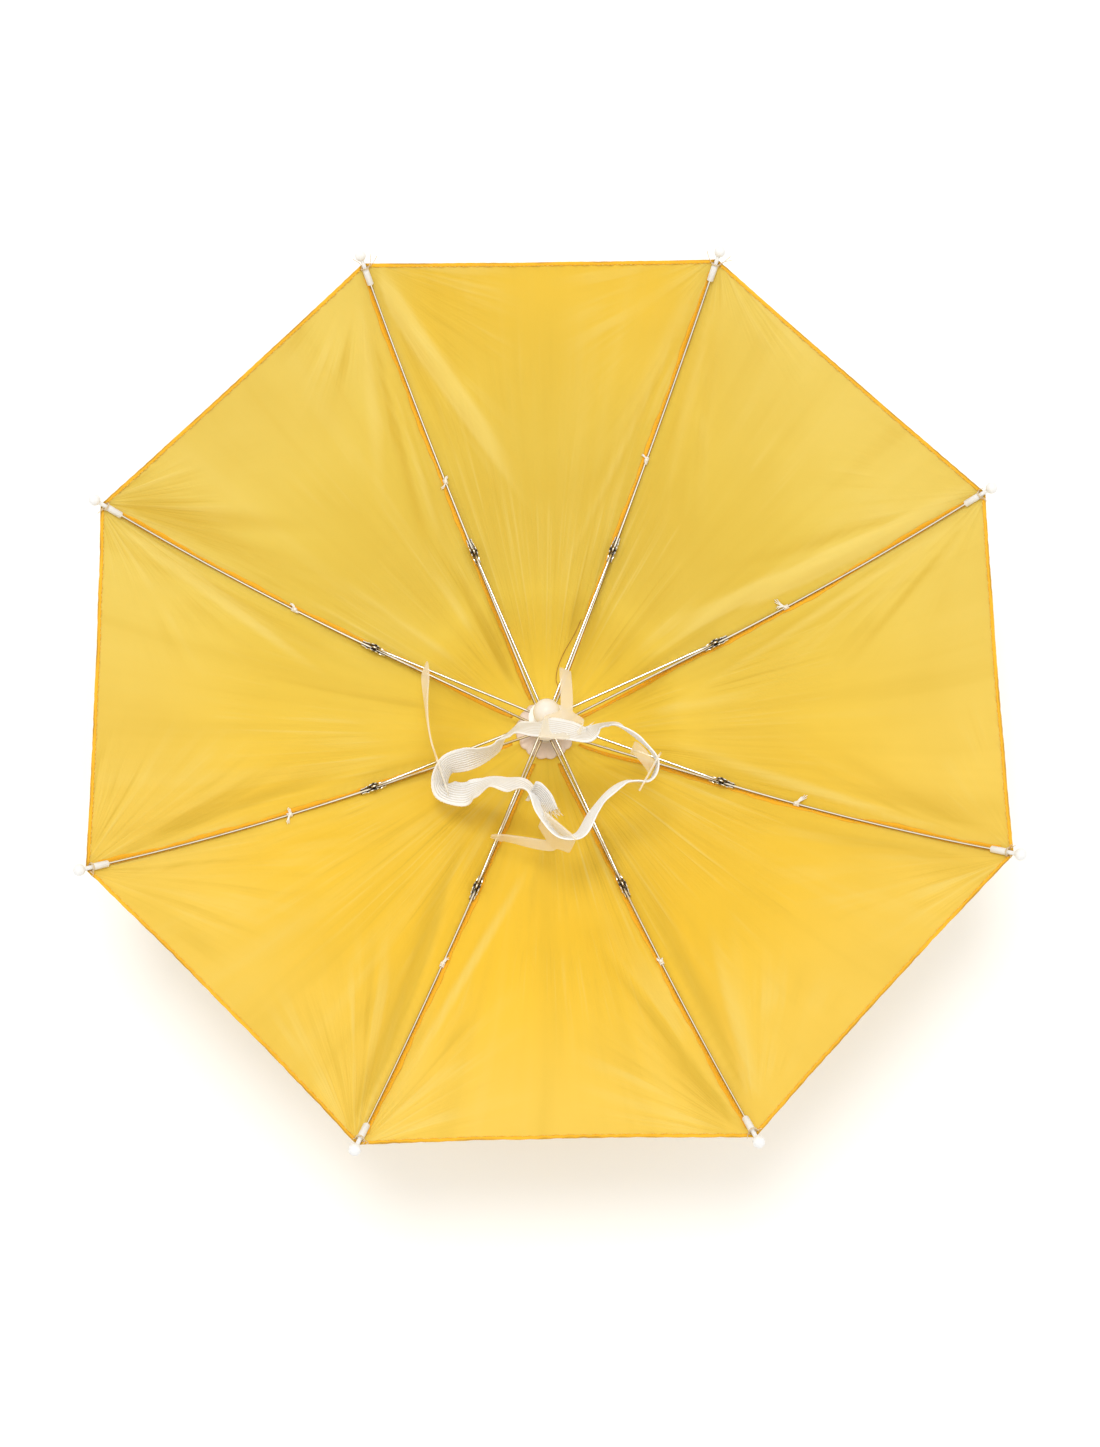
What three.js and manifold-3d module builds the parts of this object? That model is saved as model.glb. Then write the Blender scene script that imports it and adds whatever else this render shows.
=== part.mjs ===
// Umbrella hat: an eight-ribbed cloth canopy worn on the head by an elastic band that hangs
// on four plastic hangers. It lies upside down on its crown cap, with the open side up.
// Millimetres, +Z up. The origin is the centre of the crown cap's flat face, on the ground.

import * as THREE from 'three';
import { mergeVertices } from 'three/addons/utils/BufferGeometryUtils.js';
import Module from 'manifold-3d';

const wasm = await Module();
wasm.setup();

// Canopy frame
const ribCount = 8;
const firstRibTurn = THREE.MathUtils.degToRad(113.4);
const rimRadius = 300;
const ribRise = THREE.MathUtils.degToRad(19.5);
const rimRise = THREE.MathUtils.degToRad(43.4);
const clipRadius = 125;
const tieRadius = 180;
const wireRadius = 1.1;
const gap = 0.3;

// Cloth
const cloth = 1;
const clothGap = 0.6;
const crownEase = 80;
const hemPull = 0.009;
const bellyPull = 0.021;
const seamGap = 0.3;
const foldDepth = 2.4;
const foldWidth = 17;

// Crown stack, from the ground up
const capRadius = 16;
const capFlat = 14;
const capHeight = 3.5;
const socketDepth = 2;
const washerRadius = 18;
const washerHeight = 1.6;
const washerLobes = 16;
const lobeDepth = 1.5;
const postRadius = 3;
const spoolRadius = 9;
const spoolCore = 5.2;
const spoolFlange = 1.3;
const runnerRadius = 12;
const hubLift = 33;
const knobLift = 15;
const knobRadius = 9.5;
const knobHeight = 8.5;

// Joint clip, where a stretcher is riveted to its rib
const clipLength = 18;
const clipWidth = 4.6;
const clipSheet = 0.8;
const clipSide = 2.3;
const earHeight = 5;
const earLength = 5;
const rivetRadius = 0.9;
const rivetHeight = 3.4;
const eyeRadius = 1.85;
const eyeThickness = 1.6;

// Rib tip, a sleeve with a ball on its end
const tipSleeve = 12.5;
const tipRadius = 2.3;
const tipBore = 9.5;
const tipNeckRadius = 1.5;
const tipNeck = 7;
const tipBall = 3.6;
const tipInset = 14.6;

// Elastic head band and its hangers
const loopReach = 75;
const loopRise = 60;
const loopShift = 48;
const loopLift = 5.5;
const bandWidth = 20;
const bandThickness = 1.2;
const bandEndTaper = 0.62;
const bandGap = 0.4;
const hangerSheet = 1.2;
const hangerWidth = 8;
const hangerEye = 4.2;
const hangerBar = 26;
const hangerFace = 23.6;
const hangerFlare = 11;
const hangerBow = 0.42;

// How finely curves are cut
const wireSides = 6;
const roundSides = 14;
const pinSides = 8;
const rivetSides = 6;
const ballArcs = 4;
const knobArcs = 5;
const lobeSteps = 3;
const ribSteps = 11;
const goreSteps = 8;
const bandSteps = 76;
const stripSteps = 8;

const paint = {
  canopy: { color: 0xf6c440, roughness: 0.72, metalness: 0 },
  steel: { color: 0xb9b5ad, roughness: 0.3, metalness: 1 },
  clip: { color: 0x8d8b88, roughness: 0.38, metalness: 1 },
  tip: { color: 0xf4f2ee, roughness: 0.35, metalness: 0 },
  milky: { color: 0xf0e2cf, roughness: 0.3, metalness: 0 },
  elastic: { color: 0xf6f1ea, roughness: 0.85, metalness: 0 },
};

// Heights of the crown stack
const clothLevel = capHeight + gap + cloth;
const washerLevel = clothLevel + gap;
const hubLevel = washerLevel + washerHeight + gap;
const grooveReach = spoolRadius - spoolCore;
const hubGroove = 2 * wireRadius / Math.cos(ribRise) + grooveReach * Math.tan(ribRise) + 3 * gap;
const hubHeight = hubGroove + 2 * spoolFlange;
const runnerGroove = 2 * wireRadius + 4 * gap;
const runnerHeight = runnerGroove + 2 * spoolFlange;
const ribRootRadius = (spoolCore + spoolRadius) / 2;
const ribRootLevel = hubLevel + hubHeight / 2;
const runnerLevel = hubLevel + hubLift;
const runnerMiddle = runnerLevel + runnerHeight / 2;
const knobLevel = runnerLevel + runnerHeight + knobLift;
const bowRadius = (rimRadius - clipRadius) / (Math.sin(rimRise) - Math.sin(ribRise));
const clipDepth = wireRadius + gap + clipSheet;

// A row for each fold: the gore it lies in, where it starts and ends as shares of the gore's
// length (0 crown, 1 hem) and half width (-1 far seam, 1 near seam), and its depth.
const folds = [
  { gore: 0, from: [0.99, -0.82], to: [0.55, -0.30], depth: 0.7 },
  { gore: 0, from: [0.98, 0.80], to: [0.62, 0.42], depth: 0.5 },
  { gore: 1, from: [0.97, -0.74], to: [0.50, -0.22], depth: 0.8 },
  { gore: 1, from: [0.95, 0.78], to: [0.60, 0.30], depth: 1.0 },
  { gore: 2, from: [0.97, -0.72], to: [0.55, -0.20], depth: 1.0 },
  { gore: 2, from: [0.96, 0.82], to: [0.70, 0.45], depth: 0.7 },
  { gore: 3, from: [0.98, -0.80], to: [0.60, -0.45], depth: 0.7 },
  { gore: 3, from: [0.55, 0.40], to: [0.20, 0.20], depth: 0.6 },
  { gore: 4, from: [0.97, -0.80], to: [0.62, -0.40], depth: 0.6 },
  { gore: 4, from: [0.96, 0.76], to: [0.58, 0.32], depth: 0.8 },
  { gore: 5, from: [0.97, -0.74], to: [0.50, -0.28], depth: 1.0 },
  { gore: 5, from: [0.97, 0.80], to: [0.66, 0.35], depth: 0.6 },
  { gore: 6, from: [0.96, 0.72], to: [0.48, 0.18], depth: 1.0 },
  { gore: 6, from: [0.97, -0.78], to: [0.64, -0.40], depth: 0.6 },
  { gore: 7, from: [0.96, -0.74], to: [0.44, -0.24], depth: 1.0 },
  { gore: 7, from: [0.98, 0.80], to: [0.60, 0.44], depth: 0.8 },
];

// Rows of the gore's mesh, as shares of its length from crown to hem
const goreRows = [0.015, 0.06, 0.12, 0.19, 0.27, 0.36, 0.45, 0.54, 0.62, 0.70, 0.78, 0.86, 0.93, 1];

// The band's centre line round its loop: x and y as shares of loopReach from the loop's
// middle, z as a share of loopRise above it, and how far the upper edge leans out.
const bandStations = [
  { x: -0.935, y: 0.010, z: 0.21, lean: 30 },
  { x: -0.880, y: 0.150, z: 0.23, lean: 28 },
  { x: -0.695, y: 0.207, z: 0.28, lean: 35 },
  { x: -0.501, y: 0.260, z: 0.41, lean: 15 },
  { x: -0.380, y: 0.353, z: 0.55, lean: -13 },
  { x: -0.249, y: 0.403, z: 0.70, lean: -32 },
  { x: -0.093, y: 0.380, z: 0.83, lean: -46 },
  { x: 0.040, y: 0.371, z: 0.91, lean: -50 },
  { x: 0.176, y: 0.336, z: 0.96, lean: -54 },
  { x: 0.335, y: 0.293, z: 1.00, lean: -38 },
  { x: 0.448, y: 0.361, z: 1.03, lean: -22 },
  { x: 0.548, y: 0.371, z: 1.06, lean: -20 },
  { x: 0.636, y: 0.329, z: 1.10, lean: -12 },
  { x: 0.812, y: 0.191, z: 1.16, lean: -6 },
  { x: 0.917, y: 0.017, z: 1.17, lean: 0 },
  { x: 0.856, y: -0.113, z: 1.12, lean: 8 },
  { x: 0.656, y: -0.127, z: 1.04, lean: 16 },
  { x: 0.488, y: -0.239, z: 0.99, lean: 14 },
  { x: 0.387, y: -0.368, z: 0.97, lean: 20 },
  { x: 0.263, y: -0.565, z: 0.97, lean: 17 },
  { x: 0.104, y: -0.580, z: 0.99, lean: 15 },
  { x: -0.059, y: -0.383, z: 0.97, lean: 12 },
  { x: -0.135, y: -0.193, z: 0.90, lean: 19 },
  { x: -0.276, y: -0.105, z: 0.77, lean: 45 },
  { x: -0.433, y: -0.056, z: 0.62, lean: 31 },
  { x: -0.593, y: -0.084, z: 0.46, lean: 42 },
  { x: -0.721, y: -0.113, z: 0.33, lean: 66 },
  { x: -0.864, y: -0.073, z: 0.24, lean: 62 },
];

// The band's loose lapped end: where it starts on the loop (a row above), its way as shares
// of loopReach and loopRise, and its lean.
const bandEndStart = 22;
const bandEndStations = [
  { x: 0.035, y: 0.004, z: -0.02, lean: 30 },
  { x: 0.095, y: -0.050, z: -0.05, lean: 40 },
  { x: 0.150, y: -0.150, z: -0.10, lean: 46 },
];

// A row for each hanger: the rib whose stretcher carries it, the eye's place on it as a share
// of clipRadius, the band row it holds, how far its face lies inside the band and above it, is
// turned from it and leans out, and from which side its strip comes (0 below, 90 ahead).
const hangers = [
  { rib: 7, eye: 0.705, station: 27.95, inset: 3.2, rise: 2.4, turn: 4, lean: 0, entry: 90 },
  { rib: 1, eye: 0.275, station: 7.9, inset: 0.6, rise: 0, turn: 14, lean: -50, entry: 0 },
  { rib: 3, eye: 0.505, station: 14.6, inset: 2.6, rise: 0, turn: 0, lean: 2, entry: 0 },
  { rib: 5, eye: 0.725, station: 20.2, inset: 2.4, rise: 0, turn: 0, lean: -14, entry: 0 },
];

const up = new THREE.Vector3(0, 0, 1);
const smooth = THREE.MathUtils.smoothstep;

// Direction of a rib in plan, and the same turned half a gore on
function planTurn(rib) {
  return firstRibTurn - rib * 2 * Math.PI / ribCount;
}

function meridian(turn, radius, height) {
  return new THREE.Vector3(radius * Math.cos(turn), radius * Math.sin(turn), height);
}

// Slope and height of the rib's axis at a radius: straight to the clip, then an arc
function ribSlope(radius) {
  return Math.asin(Math.sin(ribRise) + Math.max(0, radius - clipRadius) / bowRadius);
}

function ribHeight(radius) {
  const straight = (Math.min(radius, clipRadius) - ribRootRadius) * Math.tan(ribRise);
  const bow = bowRadius * (Math.cos(ribRise) - Math.cos(ribSlope(radius)));
  return ribRootLevel + straight + bow;
}

// Height of the cloth's inner face along a seam: clamped flat at the crown, then under the
// rib with room for the clip, close at the tie, and under the tip's sleeve at the rim
function seamHeight(radius) {
  const tipStart = rimRadius - tipInset;
  const clipEnd = clipRadius + clipLength;
  const nearTie = smooth(radius, clipEnd, Math.max(tieRadius, clipEnd + clothGap));
  const nearTip = smooth(radius, Math.min(tieRadius, tipStart - clothGap), tipStart);
  const body = clipDepth + (wireRadius - clipDepth) * nearTie + (tipRadius - wireRadius) * nearTip;
  const under = ribHeight(radius) - (body + clothGap) / Math.cos(ribSlope(radius));
  const clamped = 1 - smooth(radius, washerRadius + gap, washerRadius + gap + crownEase);
  return THREE.MathUtils.lerp(under, clothLevel, clamped);
}

// Merges equal corners and turns the faces outward
function closed(geometry) {
  const bare = geometry.clone();
  bare.deleteAttribute('normal');
  bare.deleteAttribute('uv');
  const merged = mergeVertices(bare, 1e-4);
  const place = merged.getAttribute('position');
  const order = merged.getIndex().array;
  const corner = [new THREE.Vector3(), new THREE.Vector3(), new THREE.Vector3()];
  let volume = 0;
  for (let i = 0; i < order.length; i += 3) {
    corner.forEach((point, k) => point.fromBufferAttribute(place, order[i + k]));
    volume += corner[0].dot(corner[1].cross(corner[2]));
  }
  if (volume < 0) {
    for (let i = 0; i < order.length; i += 3) {
      [order[i], order[i + 1]] = [order[i + 1], order[i]];
    }
  }
  return merged;
}

function toManifold(geometry) {
  const body = closed(geometry);
  return new wasm.Manifold(new wasm.Mesh({
    numProp: 3,
    vertProperties: new Float32Array(body.getAttribute('position').array),
    triVerts: new Uint32Array(body.getIndex().array),
  }));
}

function fromManifold(manifold) {
  const mesh = manifold.getMesh();
  const geometry = new THREE.BufferGeometry();
  geometry.setAttribute('position', new THREE.BufferAttribute(mesh.vertProperties, 3));
  geometry.setIndex(new THREE.BufferAttribute(mesh.triVerts, 1));
  return geometry;
}

// The main body of a cut shape, without loose crumbs
function mainBody(manifold) {
  const bodies = manifold.decompose();
  return bodies.reduce((best, body) => (body.volume() > best.volume() ? body : best));
}

// Skin through rings of points, whose first half runs beside its second half
function loft(rings, round) {
  const size = rings[0].length;
  const points = rings.flat();
  const order = [];
  const spans = round ? rings.length : rings.length - 1;
  for (let i = 0; i < spans; i++) {
    const here = i * size;
    const next = ((i + 1) % rings.length) * size;
    for (let k = 0; k < size; k++) {
      const k2 = (k + 1) % size;
      order.push(here + k, here + k2, next + k2, here + k, next + k2, next + k);
    }
  }
  if (!round) {
    const last = (rings.length - 1) * size;
    for (let k = 0; k < size / 2 - 1; k++) {
      const far = size - 1 - k;
      order.push(k, far, far - 1, k, far - 1, k + 1);
      order.push(last + k, last + far - 1, last + far, last + k, last + k + 1, last + far - 1);
    }
  }
  const geometry = new THREE.BufferGeometry().setFromPoints(points);
  geometry.setIndex(order);
  return geometry;
}

// Flat strip along a row of frames { at, wide, thick }, each side grown by the same amount
function ribbon(frames, grow, round) {
  const rings = frames.map(({ at, wide, thick, width, thickness }) => {
    const w = wide.clone().multiplyScalar(width / 2 + grow);
    const t = thick.clone().multiplyScalar(thickness / 2 + grow);
    return [
      at.clone().add(w).add(t),
      at.clone().sub(w).add(t),
      at.clone().sub(w).sub(t),
      at.clone().add(w).sub(t),
    ];
  });
  return loft(rings, round);
}

function circle(radius) {
  return new THREE.Shape().absarc(0, 0, radius, 0, 2 * Math.PI);
}

function wire(path, steps) {
  const settings = { steps, curveSegments: wireSides / 2, extrudePath: path };
  return new THREE.ExtrudeGeometry(circle(wireRadius), settings);
}

// Turned body whose profile is given in radius and height, standing on +Z
function turned(profile, sides) {
  const points = profile.map(([radius, height]) => new THREE.Vector2(radius, height));
  return new THREE.LatheGeometry(points, sides).rotateX(Math.PI / 2);
}

// Round rod of even thickness between two points
function rod(radius, start, end, sides) {
  const along = end.clone().sub(start);
  const geometry = new THREE.CylinderGeometry(radius, radius, along.length(), sides);
  const turn = new THREE.Quaternion().setFromUnitVectors(new THREE.Vector3(0, 1, 0), along.normalize());
  const middle = start.clone().add(end).multiplyScalar(0.5);
  return geometry.applyQuaternion(turn).translate(middle.x, middle.y, middle.z);
}

class RibLine extends THREE.Curve {
  constructor(turn, start, end) {
    super();
    this.turn = turn;
    this.start = start;
    this.end = end;
  }

  getPoint(share, target = new THREE.Vector3()) {
    const radius = THREE.MathUtils.lerp(this.start, this.end, share);
    return target.copy(meridian(this.turn, radius, ribHeight(radius)));
  }
}

function ribFrame(rib, radius) {
  const turn = planTurn(rib);
  const slope = ribSlope(radius);
  const along = meridian(turn, Math.cos(slope), Math.sin(slope));
  const side = new THREE.Vector3().crossVectors(up, along).normalize();
  const lift = new THREE.Vector3().crossVectors(along, side);
  return { at: meridian(turn, radius, ribHeight(radius)), along, side, lift };
}

function placed(geometry, { at, along, side, lift }) {
  const place = new THREE.Matrix4().makeBasis(along, side, lift).setPosition(at);
  return geometry.applyMatrix4(place);
}

// Where the sleeve of the tip starts, and where the wire ends inside it
const sleeveStart = rimRadius - tipInset;
const wireEnd = sleeveStart + (tipBore - gap) * Math.cos(ribSlope(sleeveStart));

function ribGeometry(rib) {
  const root = spoolCore + gap + wireRadius * Math.sin(ribRise);
  return wire(new RibLine(planTurn(rib), root, wireEnd), ribSteps);
}

function tipGeometry(rib) {
  const neckEnd = tipSleeve + tipNeck;
  const rise = Math.asin(tipNeckRadius / tipBall);
  const profile = [
    [0, tipBore],
    [wireRadius + gap, tipBore],
    [wireRadius + gap, 0],
    [tipRadius, 0],
    [tipRadius, tipSleeve - tipRadius + tipNeckRadius],
    [tipNeckRadius, tipSleeve],
  ];
  for (let k = 0; k <= ballArcs; k++) {
    const turn = THREE.MathUtils.lerp(rise, Math.PI, k / ballArcs);
    const radius = k === ballArcs ? 0 : tipBall * Math.sin(turn);
    profile.push([radius, neckEnd + tipBall * (Math.cos(rise) - Math.cos(turn))]);
  }
  const { at, along, side, lift } = ribFrame(rib, sleeveStart);
  return placed(turned(profile, pinSides), { at, along: lift, side: side.negate(), lift: along });
}

// Folded sheet channel with two ears and the rivet that holds the stretcher's eye
function clipGeometry(rib) {
  const half = clipLength / 2;
  const outline = new THREE.Shape([
    new THREE.Vector2(-half, -clipDepth),
    new THREE.Vector2(half, -clipDepth),
    new THREE.Vector2(half, clipSide - clipDepth + wireRadius),
    new THREE.Vector2(earLength, clipSide - clipDepth + wireRadius),
    new THREE.Vector2(earLength / 2, earHeight),
    new THREE.Vector2(-earLength / 2, earHeight),
    new THREE.Vector2(-earLength, clipSide - clipDepth + wireRadius),
    new THREE.Vector2(-half, clipSide - clipDepth + wireRadius),
  ]);
  const block = new THREE.ExtrudeGeometry(outline, { depth: clipWidth, bevelEnabled: false });
  block.translate(0, 0, -clipWidth / 2).rotateX(Math.PI / 2);
  const room = new THREE.BoxGeometry(2 * clipLength, clipWidth - 2 * clipSheet, 2 * earHeight);
  room.translate(0, 0, earHeight - clipDepth + clipSheet);
  const reach = clipWidth / 2 + clipSheet / 2;
  const rivet = rod(rivetRadius, new THREE.Vector3(0, -reach, rivetHeight),
    new THREE.Vector3(0, reach, rivetHeight), rivetSides);
  const body = toManifold(block).subtract(toManifold(room)).add(toManifold(rivet));
  return placed(fromManifold(body), ribFrame(rib, clipRadius));
}

// The two ends of a stretcher: in the runner's groove, and at the rivet
function stretcherEnds(rib) {
  const clip = ribFrame(rib, clipRadius);
  const outer = clip.at.clone().addScaledVector(clip.lift, rivetHeight);
  const inner = meridian(planTurn(rib), spoolCore + gap, runnerMiddle);
  return { inner, outer, side: clip.side };
}

function stretcherGeometry(rib) {
  const { inner, outer, side } = stretcherEnds(rib);
  const along = outer.clone().sub(inner).normalize();
  const shank = rod(wireRadius, inner, outer.clone().addScaledVector(along, -rivetRadius - gap), wireSides);
  const half = eyeThickness / 2;
  const eye = rod(eyeRadius, outer.clone().addScaledVector(side, -half),
    outer.clone().addScaledVector(side, half), pinSides);
  const hole = rod(rivetRadius + gap, outer.clone().addScaledVector(side, -clipWidth),
    outer.clone().addScaledVector(side, clipWidth), rivetSides);
  return fromManifold(toManifold(shank).add(toManifold(eye)).subtract(toManifold(hole)));
}

// Grooved spool on the post, which holds a ring of wire ends
function spoolGeometry(level, height, radius) {
  const bore = postRadius + gap;
  return turned([
    [bore, level],
    [radius, level],
    [radius, level + spoolFlange],
    [spoolCore, level + spoolFlange],
    [spoolCore, level + height - spoolFlange],
    [radius, level + height - spoolFlange],
    [radius, level + height],
    [bore, level + height],
    [bore, level],
  ], roundSides);
}

function capGeometry() {
  return turned([
    [0, 0],
    [capFlat, 0],
    [capRadius, capHeight / 2],
    [capRadius, capHeight],
    [postRadius + gap, capHeight],
    [postRadius + gap, capHeight - socketDepth],
    [0, capHeight - socketDepth],
  ], roundSides);
}

function postGeometry() {
  const foot = capHeight - socketDepth + gap;
  const head = knobLevel + knobHeight / 2 - gap;
  return turned([[0, foot], [postRadius, foot], [postRadius, head], [0, head]], roundSides);
}

function knobGeometry() {
  const profile = [
    [0, knobLevel + knobHeight / 2],
    [postRadius + gap, knobLevel + knobHeight / 2],
    [postRadius + gap, knobLevel],
  ];
  for (let k = 0; k <= knobArcs; k++) {
    const turn = k / knobArcs * Math.PI / 2;
    const radius = k === knobArcs ? 0 : knobRadius * Math.cos(turn);
    profile.push([radius, knobLevel + knobHeight * Math.sin(turn)]);
  }
  return turned(profile, roundSides);
}

// Thin disc with a scalloped edge, between the cloth and the rib hub
function washerGeometry() {
  const outline = [];
  const steps = washerLobes * lobeSteps;
  for (let k = 0; k < steps; k++) {
    const turn = k / steps * 2 * Math.PI;
    const radius = washerRadius - lobeDepth * (1 - Math.abs(Math.sin(turn * washerLobes / 2)));
    outline.push(new THREE.Vector2(radius * Math.cos(turn), radius * Math.sin(turn)));
  }
  const shape = new THREE.Shape(outline);
  shape.holes.push(circle(postRadius + gap));
  const settings = { depth: washerHeight, bevelEnabled: false, curveSegments: pinSides };
  return new THREE.ExtrudeGeometry(shape, settings).translate(0, 0, washerLevel);
}

// Depth of the folds at a place in a gore
function foldAt(gore, share, across, point) {
  let depth = 0;
  for (const fold of folds.filter((row) => row.gore === gore)) {
    const start = goreFlat(...fold.from);
    const end = goreFlat(...fold.to);
    const here = point.clone().sub(start);
    const run = end.clone().sub(start);
    const way = here.dot(run) / run.lengthSq();
    const off = here.addScaledVector(run, -THREE.MathUtils.clamp(way, 0, 1)).length();
    const fade = smooth(way, -0.15, 0.2) * (1 - smooth(way, 0.6, 1.3));
    depth += fold.depth * fade * Math.exp(-((off / foldWidth) ** 2));
  }
  return foldDepth * depth * (1 - across ** 4);
}

// Place in a gore's plan: along its middle line and across it
function goreFlat(share, across) {
  const half = Math.PI / ribCount;
  const radius = share * rimRadius;
  return new THREE.Vector2(radius * Math.cos(half), across * radius * Math.sin(half));
}

// Inner face of a gore, in its own frame with X along its middle line: a chord from seam to
// seam, pulled inward between them and creased by its folds
function gorePoint(gore, share, across) {
  const half = Math.PI / ribCount;
  const flat = goreFlat(share, across);
  const radius = share * rimRadius;
  const slope = ribSlope(radius);
  const pull = THREE.MathUtils.lerp(bellyPull, hemPull, share ** 2) * smooth(radius, 0, tieRadius);
  const belly = 2 * radius * Math.sin(half) * pull * (1 - across ** 2);
  const inward = belly + foldAt(gore, share, across, flat);
  const sideways = flat.y - Math.sign(across) * seamGap / 2 / Math.cos(half) * Math.abs(across);
  return new THREE.Vector3(
    flat.x - Math.sin(slope) * inward,
    sideways,
    seamHeight(radius) + Math.cos(slope) * inward,
  );
}

// One gore: the inner face and, a cloth's thickness out, the outer face
function goreGeometry(gore) {
  const half = Math.PI / ribCount;
  const steps = Array.from({ length: goreSteps + 1 }, (_, k) => 2 * k / goreSteps - 1);
  const reach = Math.max(goreRows[0], (postRadius + clothGap) / rimRadius / Math.cos(half));
  const rows = [reach, ...goreRows.filter((share) => share > reach)];
  const grid = rows.map((share) => steps.map((across) => gorePoint(gore, share, across)));
  const rings = grid.map((row, i) => {
    const outer = row.map((point, k) => {
      const along = grid[Math.min(i + 1, rows.length - 1)][k].clone().sub(grid[Math.max(i - 1, 0)][k]);
      const across = row[Math.min(k + 1, goreSteps)].clone().sub(row[Math.max(k - 1, 0)]);
      const out = new THREE.Vector3().crossVectors(across, along).normalize();
      const edge = Math.abs(steps[k]) === 1;
      if (edge) {
        const seamNormal = new THREE.Vector3(Math.sin(half), -Math.sign(steps[k]) * Math.cos(half), 0);
        out.addScaledVector(seamNormal, -out.dot(seamNormal)).normalize();
      }
      return point.clone().addScaledVector(out, cloth * Math.sign(-out.z));
    });
    return [...row, ...outer.reverse()];
  });
  return loft(rings, false).rotateZ(planTurn(gore + 0.5));
}

// The band's closed centre line with the direction of its width at every step
const loopMiddle = new THREE.Vector3(0, -loopShift, runnerMiddle + loopLift);

function bandPlace({ x, y, z }) {
  return new THREE.Vector3(x * loopReach, y * loopReach, z * loopRise).add(loopMiddle);
}

const bandLine = new THREE.CatmullRomCurve3(bandStations.map(bandPlace), true, 'centripetal');

function bandLean(share) {
  const place = share * bandStations.length;
  const index = Math.floor(place) % bandStations.length;
  const next = (index + 1) % bandStations.length;
  const blend = smooth(place - Math.floor(place), 0, 1);
  return THREE.MathUtils.lerp(bandStations[index].lean, bandStations[next].lean, blend);
}

// Frame of a flat band at a point: its travel, its width leaning out by an angle, its face
function leanFrame(at, travel, lean, width) {
  const out = new THREE.Vector3(-travel.y, travel.x, 0).normalize();
  const rise = new THREE.Vector3().crossVectors(out, travel).normalize();
  rise.multiplyScalar(Math.sign(rise.z));
  const angle = THREE.MathUtils.degToRad(lean);
  const wide = rise.multiplyScalar(Math.cos(angle)).addScaledVector(out, Math.sin(angle));
  const thick = new THREE.Vector3().crossVectors(travel, wide);
  return { at, travel, wide, thick, width, thickness: bandThickness };
}

function bandFrame(share) {
  const around = (share % 1 + 1) % 1;
  return leanFrame(bandLine.getPoint(around), bandLine.getTangent(around), bandLean(around), bandWidth);
}

function bandFrames() {
  return Array.from({ length: bandSteps }, (_, k) => bandFrame(k / bandSteps));
}

// The lapped loose end, which narrows where its threads have come away
function bandEndFrames() {
  const start = bandFrame(bandEndStart / bandStations.length);
  const points = bandEndStations.map(({ x, y, z }) => (
    new THREE.Vector3(x * loopReach, y * loopReach, z * loopRise).add(start.at)));
  const line = new THREE.CatmullRomCurve3([start.at.clone(), ...points]);
  const steps = 2 * bandEndStations.length;
  return Array.from({ length: steps + 1 }, (_, k) => {
    const share = k / steps;
    const row = Math.min(Math.floor(share * points.length), points.length - 1);
    const width = bandWidth * THREE.MathUtils.lerp(1, bandEndTaper, share);
    return leanFrame(line.getPoint(share), line.getTangent(share), bandEndStations[row].lean, width);
  });
}

function bandGeometry() {
  const loop = toManifold(ribbon(bandFrames(), 0, true));
  const end = toManifold(ribbon(bandEndFrames(), 0, false));
  return fromManifold(mainBody(loop.add(end)));
}

// Space that the band needs where it passes through a hanger's face: the band grown all round
function bandRoom() {
  const band = toManifold(ribbon(bandFrames(), 0, true));
  let room = toManifold(ribbon(bandFrames(), bandGap, true));
  for (const axis of [0, 1, 2]) {
    for (const way of [-bandGap, bandGap]) {
      const shift = [0, 0, 0];
      shift[axis] = way;
      room = room.add(band.translate(shift));
    }
  }
  return room;
}

const loopRoom = bandRoom();

// Outline of a hanger's face: the bar with the slots, flaring to the strip
function faceGeometry() {
  const bar = hangerBar / 2;
  const face = hangerFace / 2;
  const strip = hangerWidth / 2;
  const outline = new THREE.Shape([
    new THREE.Vector2(-bar, -face),
    new THREE.Vector2(bar, -face),
    new THREE.Vector2(bar, face),
    new THREE.Vector2(strip, face + hangerFlare),
    new THREE.Vector2(-strip, face + hangerFlare),
    new THREE.Vector2(-bar, face),
  ]);
  const settings = { depth: hangerSheet, bevelEnabled: false };
  return new THREE.ExtrudeGeometry(outline, settings).translate(0, 0, -hangerSheet / 2);
}

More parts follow.
